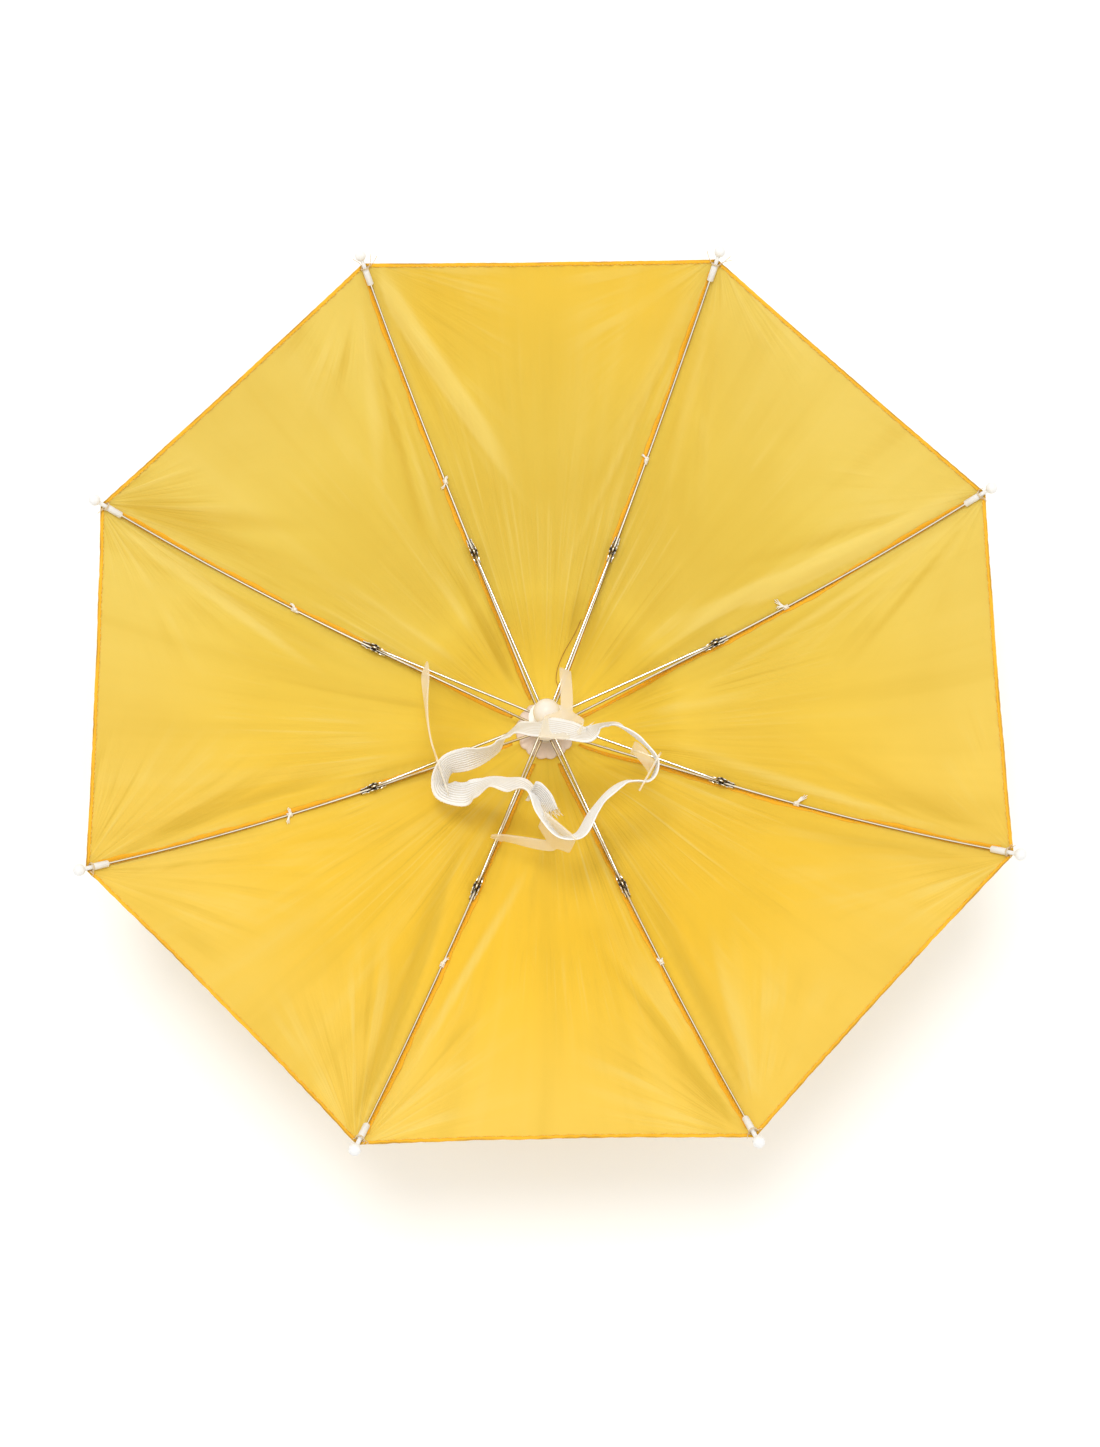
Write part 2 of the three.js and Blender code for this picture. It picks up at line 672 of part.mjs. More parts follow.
// A hanger: an eye round its stretcher, a bowed strip, and the face that the band threads
function hangerGeometry({ rib, eye, station, inset, rise, turn, lean, entry }) {
  const held = bandFrame(station / bandStations.length);
  const band = leanFrame(held.at, held.travel, lean, bandWidth);
  const inside = new THREE.Vector3().crossVectors(band.travel, band.wide).normalize();
  const outward = new THREE.Vector3(-band.travel.y, band.travel.x, 0);
  inside.multiplyScalar(-Math.sign(inside.dot(outward)));
  const middle = band.at.clone().addScaledVector(inside, inset).addScaledVector(band.wide, rise);
  const travel = band.travel.clone().applyAxisAngle(band.wide, THREE.MathUtils.degToRad(turn));
  const side = THREE.MathUtils.degToRad(entry);
  const toStrip = band.wide.clone().multiplyScalar(-Math.cos(side)).addScaledVector(travel, Math.sin(side));
  const bar = new THREE.Vector3().crossVectors(toStrip, inside).normalize();
  const through = new THREE.Vector3().crossVectors(bar, toStrip);
  const face = faceGeometry();
  face.applyMatrix4(new THREE.Matrix4().makeBasis(bar, toStrip, through).setPosition(middle));

  const { inner, outer } = stretcherEnds(rib);
  const along = outer.clone().sub(inner).normalize();
  const eyeShare = (eye * clipRadius - spoolCore) / (clipRadius - spoolCore);
  const eyeAt = inner.clone().lerp(outer, eyeShare);
  const lift = up.clone().addScaledVector(along, -up.dot(along)).normalize();
  const eyeHalf = along.clone().multiplyScalar(hangerSheet / 2);
  const ring = rod(hangerEye, eyeAt.clone().sub(eyeHalf), eyeAt.clone().add(eyeHalf), pinSides);
  const wireRoom = rod(wireRadius + gap, inner, outer, pinSides);

  const start = eyeAt.clone().addScaledVector(lift, hangerEye / 2);
  const neck = middle.clone().addScaledVector(toStrip, hangerFace / 2 + hangerFlare - hangerSheet);
  const bow = start.distanceTo(neck) * hangerBow;
  const line = new THREE.CubicBezierCurve3(start, start.clone().addScaledVector(lift, bow),
    neck.clone().addScaledVector(toStrip, bow), neck);
  const eyeWide = new THREE.Vector3().crossVectors(along, lift);
  eyeWide.multiplyScalar(Math.sign(eyeWide.dot(bar)) || 1);
  const frames = Array.from({ length: stripSteps + 1 }, (_, k) => {
    const share = k / stripSteps;
    const forward = line.getTangent(share);
    const wide = eyeWide.clone().lerp(bar, smooth(share, 0, 1));
    wide.addScaledVector(forward, -wide.dot(forward)).normalize();
    const thick = new THREE.Vector3().crossVectors(forward, wide);
    return { at: line.getPoint(share), wide, thick, width: hangerWidth, thickness: hangerSheet };
  });
  const strip = toManifold(ribbon(frames, 0, false));
  const whole = toManifold(ring).add(strip).add(toManifold(face));
  return fromManifold(mainBody(whole.subtract(toManifold(wireRoom)).subtract(loopRoom)));
}

const hat = new THREE.Group();

function add(name, geometry, look) {
  const mesh = new THREE.Mesh(closed(geometry), new THREE.MeshStandardMaterial(look));
  mesh.name = name;
  hat.add(mesh);
}

add('crown_cap', capGeometry(), paint.tip);
add('crown_washer', washerGeometry(), paint.milky);
add('rib_hub', spoolGeometry(hubLevel, hubHeight, spoolRadius), paint.milky);
add('post', postGeometry(), paint.milky);
add('runner', spoolGeometry(runnerLevel, runnerHeight, runnerRadius), paint.milky);
add('runner_knob', knobGeometry(), paint.milky);
for (let k = 0; k < ribCount; k++) {
  add(`gore_${k + 1}`, goreGeometry(k), paint.canopy);
  add(`rib_${k + 1}`, ribGeometry(k), paint.steel);
  add(`stretcher_${k + 1}`, stretcherGeometry(k), paint.steel);
  add(`joint_clip_${k + 1}`, clipGeometry(k), paint.clip);
  add(`rib_tip_${k + 1}`, tipGeometry(k), paint.tip);
}
add('head_band', bandGeometry(), paint.elastic);
hangers.forEach((row, k) => add(`hanger_${k + 1}`, hangerGeometry(row), paint.milky));

export default hat;
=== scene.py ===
"""Umbrella hat, lying upside down on its crown cap: the looks of its cloth, wires and plastic.

Lengths in the tables are millimetres; the scene itself is in metres.
"""

import math
import random

import bmesh
import bpy
from bpy.props import FloatProperty, FloatVectorProperty, PointerProperty
from mathutils import Euler, Matrix, Vector, noise


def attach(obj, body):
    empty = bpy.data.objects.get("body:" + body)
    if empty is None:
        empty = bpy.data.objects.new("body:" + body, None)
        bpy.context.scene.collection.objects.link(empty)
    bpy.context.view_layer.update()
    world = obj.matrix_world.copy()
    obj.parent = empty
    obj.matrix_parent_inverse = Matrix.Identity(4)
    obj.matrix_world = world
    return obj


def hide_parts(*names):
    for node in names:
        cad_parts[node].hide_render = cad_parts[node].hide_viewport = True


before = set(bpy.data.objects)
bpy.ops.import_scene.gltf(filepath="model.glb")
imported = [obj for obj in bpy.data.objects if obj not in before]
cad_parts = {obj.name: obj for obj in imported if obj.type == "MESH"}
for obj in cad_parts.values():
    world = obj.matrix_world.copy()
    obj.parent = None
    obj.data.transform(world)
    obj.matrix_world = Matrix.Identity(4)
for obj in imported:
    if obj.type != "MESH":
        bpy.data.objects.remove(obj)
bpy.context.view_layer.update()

bl_info = {
    "name": "Umbrella hat",
    "version": (1, 0, 0),
    "blender": (4, 5, 0),
    "location": "3D View > Sidebar > Umbrella hat",
    "description": "Builds the cloth, wires, band and fittings of an umbrella hat",
    "category": "Object",
}

MM = 0.001
X, Y, Z = Vector((1, 0, 0)), Vector((0, 1, 0)), Vector((0, 0, 1))

# Frame of the canopy
RIB_COUNT = 8
FIRST_TURN = math.radians(113.4)
RIM_RADIUS = 300
RIB_RISE = math.radians(19.5)
RIM_RISE = math.radians(43.4)
CLIP_RADIUS = 125
TIE_RADIUS = 180
WIRE_RADIUS = 1.1
RIB_ROOT = (7.1, 10.6)
RUNNER_MIDDLE = 42.85
RIVET_HEIGHT = 3.4
TIP_START = RIM_RADIUS - 14.6
BOW_RADIUS = (RIM_RADIUS - CLIP_RADIUS) / (math.sin(RIM_RISE) - math.sin(RIB_RISE))

# Cloth
CLAMP_RADIUS = 18.3
CLAMP_LEVEL = 4.8
CROWN_EASE = 80
CLOTH_START = 0.0132
FOLD_DEPTH = 2.4
FOLD_WIDTH = 17

# Main folds: gore, start and end as shares of its length and half width, and depth
FOLDS = [
    (0, (0.99, -0.82), (0.55, -0.30), 0.7),
    (0, (0.98, 0.80), (0.62, 0.42), 0.5),
    (1, (0.97, -0.74), (0.50, -0.22), 0.8),
    (1, (0.95, 0.78), (0.60, 0.30), 1.0),
    (2, (0.97, -0.72), (0.55, -0.20), 1.0),
    (2, (0.96, 0.82), (0.70, 0.45), 0.7),
    (3, (0.98, -0.80), (0.60, -0.45), 0.7),
    (3, (0.55, 0.40), (0.20, 0.20), 0.6),
    (4, (0.97, -0.80), (0.62, -0.40), 0.6),
    (4, (0.96, 0.76), (0.58, 0.32), 0.8),
    (5, (0.97, -0.74), (0.50, -0.28), 1.0),
    (5, (0.97, 0.80), (0.66, 0.35), 0.6),
    (6, (0.96, 0.72), (0.48, 0.18), 1.0),
    (6, (0.97, -0.78), (0.64, -0.40), 0.6),
    (7, (0.96, -0.74), (0.44, -0.24), 1.0),
    (7, (0.98, 0.80), (0.60, 0.44), 0.8),
]

# Band: x, y, z of its centre line as shares of the loop's reach and rise, and its lean
LOOP_REACH = 75
LOOP_RISE = 60
LOOP_MIDDLE = Vector((0, -48, RUNNER_MIDDLE + 5.5))
BAND_STATIONS = [
    (-0.935, 0.010, 0.21, 30), (-0.880, 0.150, 0.23, 28), (-0.695, 0.207, 0.28, 35),
    (-0.501, 0.260, 0.41, 15), (-0.380, 0.353, 0.55, -13), (-0.249, 0.403, 0.70, -32),
    (-0.093, 0.380, 0.83, -46), (0.040, 0.371, 0.91, -50), (0.176, 0.336, 0.96, -54),
    (0.335, 0.293, 1.00, -38), (0.448, 0.361, 1.03, -22), (0.548, 0.371, 1.06, -20),
    (0.636, 0.329, 1.10, -12), (0.812, 0.191, 1.16, -6), (0.917, 0.017, 1.17, 0),
    (0.856, -0.113, 1.12, 8), (0.656, -0.127, 1.04, 16), (0.488, -0.239, 0.99, 14),
    (0.387, -0.368, 0.97, 20), (0.263, -0.565, 0.97, 17), (0.104, -0.580, 0.99, 15),
    (-0.059, -0.383, 0.97, 12), (-0.135, -0.193, 0.90, 19), (-0.276, -0.105, 0.77, 45),
    (-0.433, -0.056, 0.62, 31), (-0.593, -0.084, 0.46, 42), (-0.721, -0.113, 0.33, 66),
    (-0.864, -0.073, 0.24, 62),
]
BAND_END_START = 22
BAND_END = [(0.035, 0.004, -0.02, 30), (0.095, -0.050, -0.05, 40), (0.150, -0.150, -0.10, 46)]

# Hangers: rib, eye, band station, inset, rise, turn, lean, the side the strip comes from
# and how far the strip bows at the eye and at the face
HANGERS = [
    (7, 0.705, 27.95, 3.2, 2.4, 4, 0, 90, 0.42, 0.42),
    (1, 0.275, 7.6, 0.6, 0, 14, -50, -13, 0.16, 0.12),
    (3, 0.505, 14.6, 2.6, 0, 0, 2, 0, 0.42, 0.42),
    (5, 0.725, 20.2, 2.4, 0, 0, -14, 0, 0.3, 0.2),
]

# Thread ties: radius, where their two tails point in degrees from the rib, and their length
TIES = [
    (172, 130, -40, 6), (184.5, 60, 200, 5), (174, 120, 160, 9.5), (174.5, 55, 62, 9),
    (182, -160, 150, 4), (181, 160, 175, 6.5), (181, 55, -100, 7), (180, -30, 170, 5),
]

# The side of each seam to which its allowance is folded near the crown and near the rim:
# +1 the gore of the same number, -1 the one before it
ALLOWANCES = [(-1, -1), (-1, -1), (1, -1), (1, -1), (1, 1), (-1, -1), (1, 1), (1, 1)]


def at(x, y, z):
    """A point given in millimetres."""
    return Vector((x, y, z)) * MM


def smooth(value, low, high):
    share = min(max((value - low) / (high - low), 0), 1)
    return share * share * (3 - 2 * share)


def plan_turn(rib):
    return FIRST_TURN - rib * 2 * math.pi / RIB_COUNT


def meridian(turn, radius, height):
    return Vector((radius * math.cos(turn), radius * math.sin(turn), height))


def rib_slope(radius):
    return math.asin(math.sin(RIB_RISE) + max(0, radius - CLIP_RADIUS) / BOW_RADIUS)


def rib_height(radius):
    straight = (min(radius, CLIP_RADIUS) - RIB_ROOT[0]) * math.tan(RIB_RISE)
    bow = BOW_RADIUS * (math.cos(RIB_RISE) - math.cos(rib_slope(radius)))
    return RIB_ROOT[1] + straight + bow


def seam_height(radius):
    """Height of the cloth's inner face along a seam."""
    near_tie = smooth(radius, CLIP_RADIUS + 18, TIE_RADIUS)
    near_tip = smooth(radius, TIE_RADIUS, TIP_START)
    body = 2.2 + (WIRE_RADIUS - 2.2) * near_tie + (2.3 - WIRE_RADIUS) * near_tip
    under = rib_height(radius) - (body + 0.6) / math.cos(rib_slope(radius))
    clamped = 1 - smooth(radius, CLAMP_RADIUS, CLAMP_RADIUS + CROWN_EASE)
    return under + (CLAMP_LEVEL - under) * clamped


def rib_frame(rib, radius):
    """Place on a rib: point, direction along it, to its side, and up from the cloth."""
    turn = plan_turn(rib)
    slope = rib_slope(radius)
    along = meridian(turn, math.cos(slope), math.sin(slope))
    side = Z.cross(along).normalized()
    return meridian(turn, radius, rib_height(radius)), along, side, along.cross(side)


def basis(point, x_axis, y_axis, z_axis):
    """Matrix whose columns are three axes, placed at a point in millimetres."""
    turn = Matrix((x_axis, y_axis, z_axis)).transposed().to_4x4()
    return Matrix.Translation(point * MM) @ turn


def turned(bm, profile, place=Matrix(), steps=32):
    """Spins a profile of radius and height in millimetres about the place's Z axis."""
    verts = [bm.verts.new(place @ at(radius, 0, height)) for radius, height in profile]
    edges = [bm.edges.new(pair) for pair in zip(verts, verts[1:])]
    turn = place.to_3x3()
    bmesh.ops.spin(
        bm, geom=verts + edges, cent=place.translation, axis=turn @ Z,
        angle=2 * math.pi, steps=steps, use_merge=True,
    )


def tube(bm, points, radius, sides=12, ends=True):
    """Round tube along points in millimetres."""
    rings = []
    lift = Z if abs((points[-1] - points[0]).normalized().z) < 0.9 else X
    for i, point in enumerate(points):
        along = (points[min(i + 1, len(points) - 1)] - points[max(i - 1, 0)]).normalized()
        side = lift.cross(along).normalized()
        lift = along.cross(side)
        wide = radius[i] if isinstance(radius, list) else radius
        made = bmesh.ops.create_circle(
            bm, segments=sides, radius=wide * MM, cap_ends=ends and i in (0, len(points) - 1),
            matrix=basis(point, side, lift, along),
        )
        rings.append(made["verts"])
    for ring, following in zip(rings, rings[1:]):
        edges = [e for v in ring + following for e in v.link_edges]
        loops = {e for e in edges if len(e.link_faces) < 2}
        bmesh.ops.bridge_loops(bm, edges=list(loops))


def ring_round(bm, centre, axis, radius, thickness, steps=24, sides=10):
    """Ring of round section about an axis."""
    axis = axis.normalized()
    out = axis.orthogonal().normalized()
    made = bmesh.ops.create_circle(
        bm, segments=sides, radius=thickness * MM,
        matrix=basis(centre + out * radius, out, axis, out.cross(axis)),
    )
    edges = list({e for v in made["verts"] for e in v.link_edges})
    bmesh.ops.spin(
        bm, geom=made["verts"] + edges, cent=centre * MM, axis=axis,
        angle=2 * math.pi, steps=steps, use_merge=True,
    )


def grid_sheet(bm, columns, rows, place, uv_place=None):
    """Grid whose corner at column and row shares is put where place says."""
    made = bmesh.ops.create_grid(bm, x_segments=columns, y_segments=rows, size=0.5)
    verts = made["verts"]
    faces = {f for v in verts for f in v.link_faces}
    uv = bm.loops.layers.uv.get("UVMap") or bm.loops.layers.uv.new("UVMap")
    for face in faces:
        for loop in face.loops:
            across, along = loop.vert.co.x + 0.5, loop.vert.co.y + 0.5
            loop[uv].uv = uv_place(across, along) if uv_place else (across, along)
    for vert in verts:
        vert.co = place(vert.co.x + 0.5, vert.co.y + 0.5) * MM
    return verts


def build(name, bm, finish, nodes=(), closed=True, crisp=None, level=None):
    """Makes a bmesh a shown piece that rides on the body.

    level gives how upright a face can stand at a place, on a wire that slopes.
    """
    bmesh.ops.remove_doubles(bm, verts=bm.verts, dist=2e-6)
    if closed:
        bmesh.ops.recalc_face_normals(bm, faces=bm.faces)
        bm.normal_update()
        # upper tells how far a vertex faces up. The metal finishes paint shade on the flanks from
        # it.
        upper = bm.verts.layers.float.new("upper")
        for vert in bm.verts:
            vert[upper] = vert.normal.z / (level(vert.co) if level else 1)
    mesh = bpy.data.meshes.new(name)
    bm.to_mesh(mesh)
    bm.free()
    mesh.shade_smooth()
    if crisp:
        mesh.set_sharp_from_angle(angle=math.radians(crisp))
    mesh.materials.append(finish)
    piece = bpy.data.objects.new(name, mesh)
    bpy.context.collection.objects.link(piece)
    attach(piece, "root")
    if nodes:
        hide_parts(*nodes)
    return piece


def thicken(piece, thickness, offset=-1.0):
    wall = piece.modifiers.new("wall", "SOLIDIFY")
    wall.thickness = thickness * MM
    wall.offset = offset
    wall.use_even_offset = True


class Link:
    """Socket of a finish on which Python's operators add Math nodes."""

    def __init__(self, finish, node, socket):
        self.finish, self.node, self.socket = finish, node, socket

    def out(self, name):
        return Link(self.finish, self.node, self.node.outputs[name])

    def math(self, operation, *values):
        sockets = dict(enumerate(values))
        return self.finish.node("ShaderNodeMath", {"operation": operation}, sockets)

    def __add__(self, other):
        return self.math("ADD", self, other)

    __radd__ = __add__

    def __mul__(self, other):
        return self.math("MULTIPLY", self, other)

    __rmul__ = __mul__

    def __sub__(self, other):
        return self.math("SUBTRACT", self, other)

    def __rsub__(self, other):
        return self.math("SUBTRACT", other, self)

    def __truediv__(self, other):
        return self.math("DIVIDE", self, other)

    def __pow__(self, other):
        return self.math("POWER", self, other)

    def sine(self):
        return self.math("SINE", self)

    def size(self):
        return self.math("ABSOLUTE", self)

    def whole(self):
        return self.math("FLOOR", self)

    def between(self, low, high):
        settings = {"interpolation_type": "SMOOTHSTEP"}
        sockets = {"Value": self, "From Min": low, "From Max": high}
        return self.finish.node("ShaderNodeMapRange", settings, sockets)


class Finish:
    """Material whose nodes are added one at a time."""

    def __init__(self, name):
        self.material = bpy.data.materials.new(name)
        self.material.use_nodes = True
        self.tree = self.material.node_tree
        self.tree.nodes.clear()

    def node(self, kind, settings=None, sockets=None, out=0):
        node = self.tree.nodes.new(kind)
        for key, value in (settings or {}).items():
            if key == "stops":
                self.stops(node.color_ramp, value)
            else:
                setattr(node, key, value)
        for key, value in (sockets or {}).items():
            if isinstance(value, Link):
                self.tree.links.new(value.socket, node.inputs[key])
            else:
                node.inputs[key].default_value = value
        return Link(self, node, node.outputs[out] if node.outputs else None)

    @staticmethod
    def stops(ramp, rows):
        while len(ramp.elements) < len(rows):
            ramp.elements.new(0.5)
        for element, (place, colour) in zip(ramp.elements, rows):
            element.position, element.color = place, (*colour, 1)

    def mix(self, share, first, second):
        """Colour that goes from the first to the second."""
        colours = [c if isinstance(c, Link) else (*c[:3], 1) for c in (first, second)]
        sockets = {0: share, 6: colours[0], 7: colours[1]}
        return self.node("ShaderNodeMix", {"data_type": "RGBA"}, sockets, 2)

    def noise(self, scale, detail=3, vector=None):
        sockets = {"Scale": scale, "Detail": detail, "Vector": vector or self.place()}
        return self.node("ShaderNodeTexNoise", {}, sockets)

    def place(self):
        return self.node("ShaderNodeTexCoord", out="Object")

    def uv(self):
        return self.node("ShaderNodeUVMap", {"uv_map": "UVMap"})

    def bump(self, height, distance, strength=1.0):
        sockets = {"Height": height, "Distance": distance, "Strength": strength}
        return self.node("ShaderNodeBump", {}, sockets)

    def surface(self, glow=None, **sockets):
        """Ends the nodes in the shader, with light let through it where glow says."""
        names = {key.replace("_", " "): value for key, value in sockets.items()}
        shader = self.node("ShaderNodeBsdfPrincipled", {}, names)
        if glow:
            share, colour = glow
            through = self.node("ShaderNodeBsdfTranslucent", {}, {"Color": colour})
            shader = self.node("ShaderNodeMixShader", {}, {0: share, 1: shader, 2: through})
        self.node("ShaderNodeOutputMaterial", {}, {"Surface": shader})
        return self.material


def weave(f):
    """Height of a plain weave with uneven threads."""
    threads = f.node("ShaderNodeSeparateXYZ", {}, {0: f.uv()})
    warp = (threads.out("X") * (2 * math.pi / 0.0006)).sine()
    weft = (threads.out("Y") * (2 * math.pi / 0.0006)).sine()
    slub = f.node("ShaderNodeTexNoise", {}, {"Scale": 900.0, "Detail": 2.0, "Vector": f.uv()})
    return warp * weft * 0.5 + slub


def streaks(f, across, along, seed):
    """Noise drawn out along one direction."""
    vector = f.node("ShaderNodeCombineXYZ", {}, {0: across, 1: along, 2: seed})
    sockets = {"Scale": 1.0, "Detail": 3.0, "Roughness": 0.55, "Vector": vector}
    return f.node("ShaderNodeTexNoise", {}, sockets)


def canopy_finish(name, tint, low_tint, pale, shade):
    """Thin woven cloth, creased outwards from the crown and inwards from the rib tips, with the
    light and shade of its gores, folds and creases painted into its colour.
    """
    f = Finish(name)
    parts = f.node("ShaderNodeSeparateXYZ", {}, {0: f.place()})
    flat = f.node("ShaderNodeSeparateXYZ", {}, {0: f.uv()})
    u, v = flat.out("X"), flat.out("Y")
    gore = (u * 2 + 0.5).whole()
    local = u - gore * 0.5
    reach = (local * local + v * v) ** 0.5
    rays = streaks(f, local / (v + 0.004) * 38 + gore * 9.7, reach * 6, gore)
    broken = f.noise(13, 2).between(0.42, 0.62)
    ray_share = reach.between(0.03, 0.08) * (1 - reach.between(0.13, 0.27)) * broken

    side = local.math("SIGN", local)
    du = 0.1152 - local.size()
    dv = 0.279 - v
    corner = (du * du + dv * dv) ** 0.5
    swing = du.math("ARCTAN2", du, dv)
    fans = streaks(f, swing * 9 + side * 5, corner * 7, gore + side * 0.3)
    fan_share = (1 - corner.between(0.03, 0.2)) * local.size().between(0.0, 0.06)
    fan_share = fan_share * f.noise(11, 2).between(0.36, 0.6)

    # crease holds how raised or sunk the fine creases are. Below, it drives painted light and
    # shade.
    crease = f.node("ShaderNodeAttribute", {"attribute_name": "crease"}, out="Fac")
    cloudy = f.noise(7, 3)
    # Painted light: the gores low in the view turn their inner faces to the light and get the
    # warmer low tint. The upper gores get the paler tint.
    colour = f.mix(parts.out("Y").between(-0.17, 0.12), low_tint, tint)
    x, y = parts.out("X").size(), parts.out("Y")
    # Painted light and shade by place: a darker belt at mid radius on the upper gores is painted
    # shade. The golden rim of the top gore and the paler rim of the other gores are painted light.
    top = y.between(0.08, 0.2) * (1 - x.between(0.07, 0.13))
    rim = reach.between(0.17, 0.28)
    belt = reach.between(0.06, 0.12) * (1 - reach.between(0.15, 0.23)) * y.between(0.0, 0.1)
    colour = f.mix(belt * 0.3, colour, shade)
    colour = f.mix(rim * top * 0.6, colour, low_tint)
    colour = f.mix(rim * (1 - top) * 0.38, colour, pale)
    # Painted light: the crown lies in the bowl's shade and is painted brighter and more orange.
    colour = f.mix(reach.between(0.0, 0.13), (1.0, 0.71, 0.06), colour)
    # Painted shade: cloudy patches are darkened towards the fold colour.
    colour = f.mix(cloudy.between(0.4, 0.75) * 0.3, colour, shade)
    # Painted light and shade of the folds: broad bands, rays from the crown and fans from the rib
    # tips are painted light on one side and painted shade on the other.
    bands = streaks(f, local / (v + 0.004) * 9 + gore * 5.1, reach * 3, gore + 7)
    colour = f.mix(bands.between(0.5, 0.7) * 0.16, colour, pale)
    colour = f.mix((1 - bands).between(0.5, 0.7) * 0.2, colour, shade)
    colour = f.mix(rays.between(0.52, 0.72) * ray_share * 0.5, colour, pale)
    colour = f.mix((1 - rays).between(0.54, 0.74) * ray_share * 0.55, colour, shade)
    colour = f.mix(fans.between(0.50, 0.66) * fan_share * 0.55, colour, pale)
    colour = f.mix((1 - fans).between(0.52, 0.7) * fan_share * 0.6, colour, shade)
    # Painted light on the tops of the fine creases, painted shade in their hollows.
    colour = f.mix(crease.between(0.08, 1.1) * 0.55, colour, pale)
    colour = f.mix((0 - crease).between(0.08, 1.1) * 0.6, colour, shade)
    height = rays * ray_share + fans * fan_share * 1.4 + bands * 0.45 + f.noise(60, 4) * 0.2
    folds = f.bump(height, 0.004, 0.3)
    normal = f.node(
        "ShaderNodeBump", {},
        {"Height": weave(f), "Distance": 0.00003, "Strength": 0.5, "Normal": folds})
    return f.surface(
        glow=(0.16, (*low_tint[:3], 1)), Base_Color=colour, Roughness=0.48 + cloudy * 0.12,
        Normal=normal,
        Sheen_Weight=0.08, Sheen_Roughness=0.4, Specular_IOR_Level=0.25,
    )


def doubled_finish(name, tint, edge, width):
    """Two layers of the cloth seen together, darker along their outer edge."""
    f = Finish(name)
    flat = f.node("ShaderNodeSeparateXYZ", {}, {0: f.uv()})
    cloudy = f.noise(40, 4)
    brink = flat.out("Y").between(width - 0.0009, width - 0.0003)
    colour = f.mix(cloudy.between(0.35, 0.8) * 0.5, tint, [c * 0.86 for c in tint[:3]])
    colour = f.mix(brink * (cloudy.between(0.35, 0.65) * 0.55 + 0.1), colour, edge)
    folds = f.bump(f.noise(150, 3), 0.0008, 0.4)
    normal = f.node(
        "ShaderNodeBump", {},
        {"Height": weave(f), "Distance": 0.00003, "Strength": 0.5, "Normal": folds})
    return f.surface(
        glow=(0.15, (*tint[:3], 1)), Base_Color=colour, Roughness=0.55 + cloudy * 0.1,
        Normal=normal, Specular_IOR_Level=0.25,
    )


def elastic_finish(name, tint, shade, width):
    """Woven elastic: ribs along the band, fine threads across it and close selvedges, with painted
    shade in the grooves between the ribs.
    """
    f = Finish(name)
    threads = f.node("ShaderNodeSeparateXYZ", {}, {0: f.uv()})
    across, along = threads.out("X"), threads.out("Y")
    rib = (across * (2 * math.pi / 0.002)).sine()
    cross = (along * (2 * math.pi / 0.0008)).sine()
    dusty = f.noise(60, 3)
    brink = (across - width / 2).size().between(width / 2 - 0.0024, width / 2 - 0.0016)
    # Painted shade in the grooves between the ribs. Random dusty patches darken towards the same
    # colour.
    groove = (0 - rib).between(0.0, 0.9) * (1 - brink) * 0.75
    colour = f.mix(groove + dusty.between(0.45, 0.75) * 0.2, tint, shade)
    colour = f.mix(brink * 0.8, colour, (0.97, 0.95, 0.92))
    normal = f.bump(rib * (1 - brink) * 0.7 + cross * 0.3 + dusty * 0.4, 0.0003, 0.8)
    return f.surface(
        glow=(0.1, (*tint[:3], 1)), Base_Color=colour, Roughness=0.75 + dusty * 0.15,
        Normal=normal, Sheen_Weight=0.2, Sheen_Roughness=0.5,
    )


def metal_finish(name, tint, shade_tint, rough, streak, shaded=0.85):
    """Bright drawn or stamped metal with painted shade on its flanks, darker towards the rim and in
    random spots.
    """
    f = Finish(name)
    spots = f.noise(streak, 3)
    upper = f.node("ShaderNodeAttribute", {"attribute_name": "upper"}, out="Fac")
    flank = 1 - upper.between(0.58, 0.92)
    parts = f.node("ShaderNodeSeparateXYZ", {}, {0: f.place()})
    x, y = parts.out("X"), parts.out("Y")
    far = ((x * x + y * y) ** 0.5).between(0.15, 0.24)
    # Painted shade on the flanks, where vertices face sideways. Random spots darken it a little
    # too.
    colour = f.mix(flank * shaded + spots.between(0.5, 0.8) * 0.12, tint, shade_tint)
    # A little darker towards the rim.
    colour = f.mix(far * 0.06, colour, shade_tint)
    normal = f.bump(spots, 0.00001, 0.15)
    return f.surface(
        Base_Color=colour, Metallic=1.0, Normal=normal, Roughness=rough + spots * 0.1,
    )


def plastic_finish(name, tint, shade, clearness, rough=0.3):
    """Moulded plastic, more or less clear, with faint flow marks and scuffs."""
    f = Finish(name)
    flow = f.noise(45, 3)
    scuff = f.noise(400, 3)
    colour = f.mix(flow.between(0.35, 0.75), tint, shade)
    normal = f.bump(flow * 0.6 + scuff * 0.4, 0.00005, 0.4)
    return f.surface(
        glow=(0.22, (*tint[:3], 1)), Base_Color=colour, Normal=normal,
        Roughness=rough + scuff.between(0.45, 0.8) * 0.2, Alpha=1 - clearness, IOR=1.48,
    )


def thread_finish(name, tint, shade):
    """Spun thread with a twist."""
    f = Finish(name)
    twist = f.noise(1500, 2)
    colour = f.mix(twist.between(0.35, 0.7), tint, shade)
    normal = f.bump(twist, 0.00005, 0.6)
    return f.surface(
        glow=(0.1, (*tint[:3], 1)), Base_Color=colour, Roughness=0.75 + twist * 0.15,
        Normal=normal, Sheen_Weight=0.2,
    )


def floor_finish(name, tint):
    f = Finish(name)
    cloudy = f.noise(3, 2)
    colour = f.mix(cloudy, tint, [c * 0.985 for c in tint[:3]])
    return f.surface(Base_Color=colour, Roughness=0.75 + cloudy * 0.1, Specular_IOR_Level=0.2)


def gore_flat(share, across):
    half = math.pi / RIB_COUNT
    radius = share * RIM_RADIUS
    return Vector((radius * math.cos(half), across * radius * math.sin(half)))


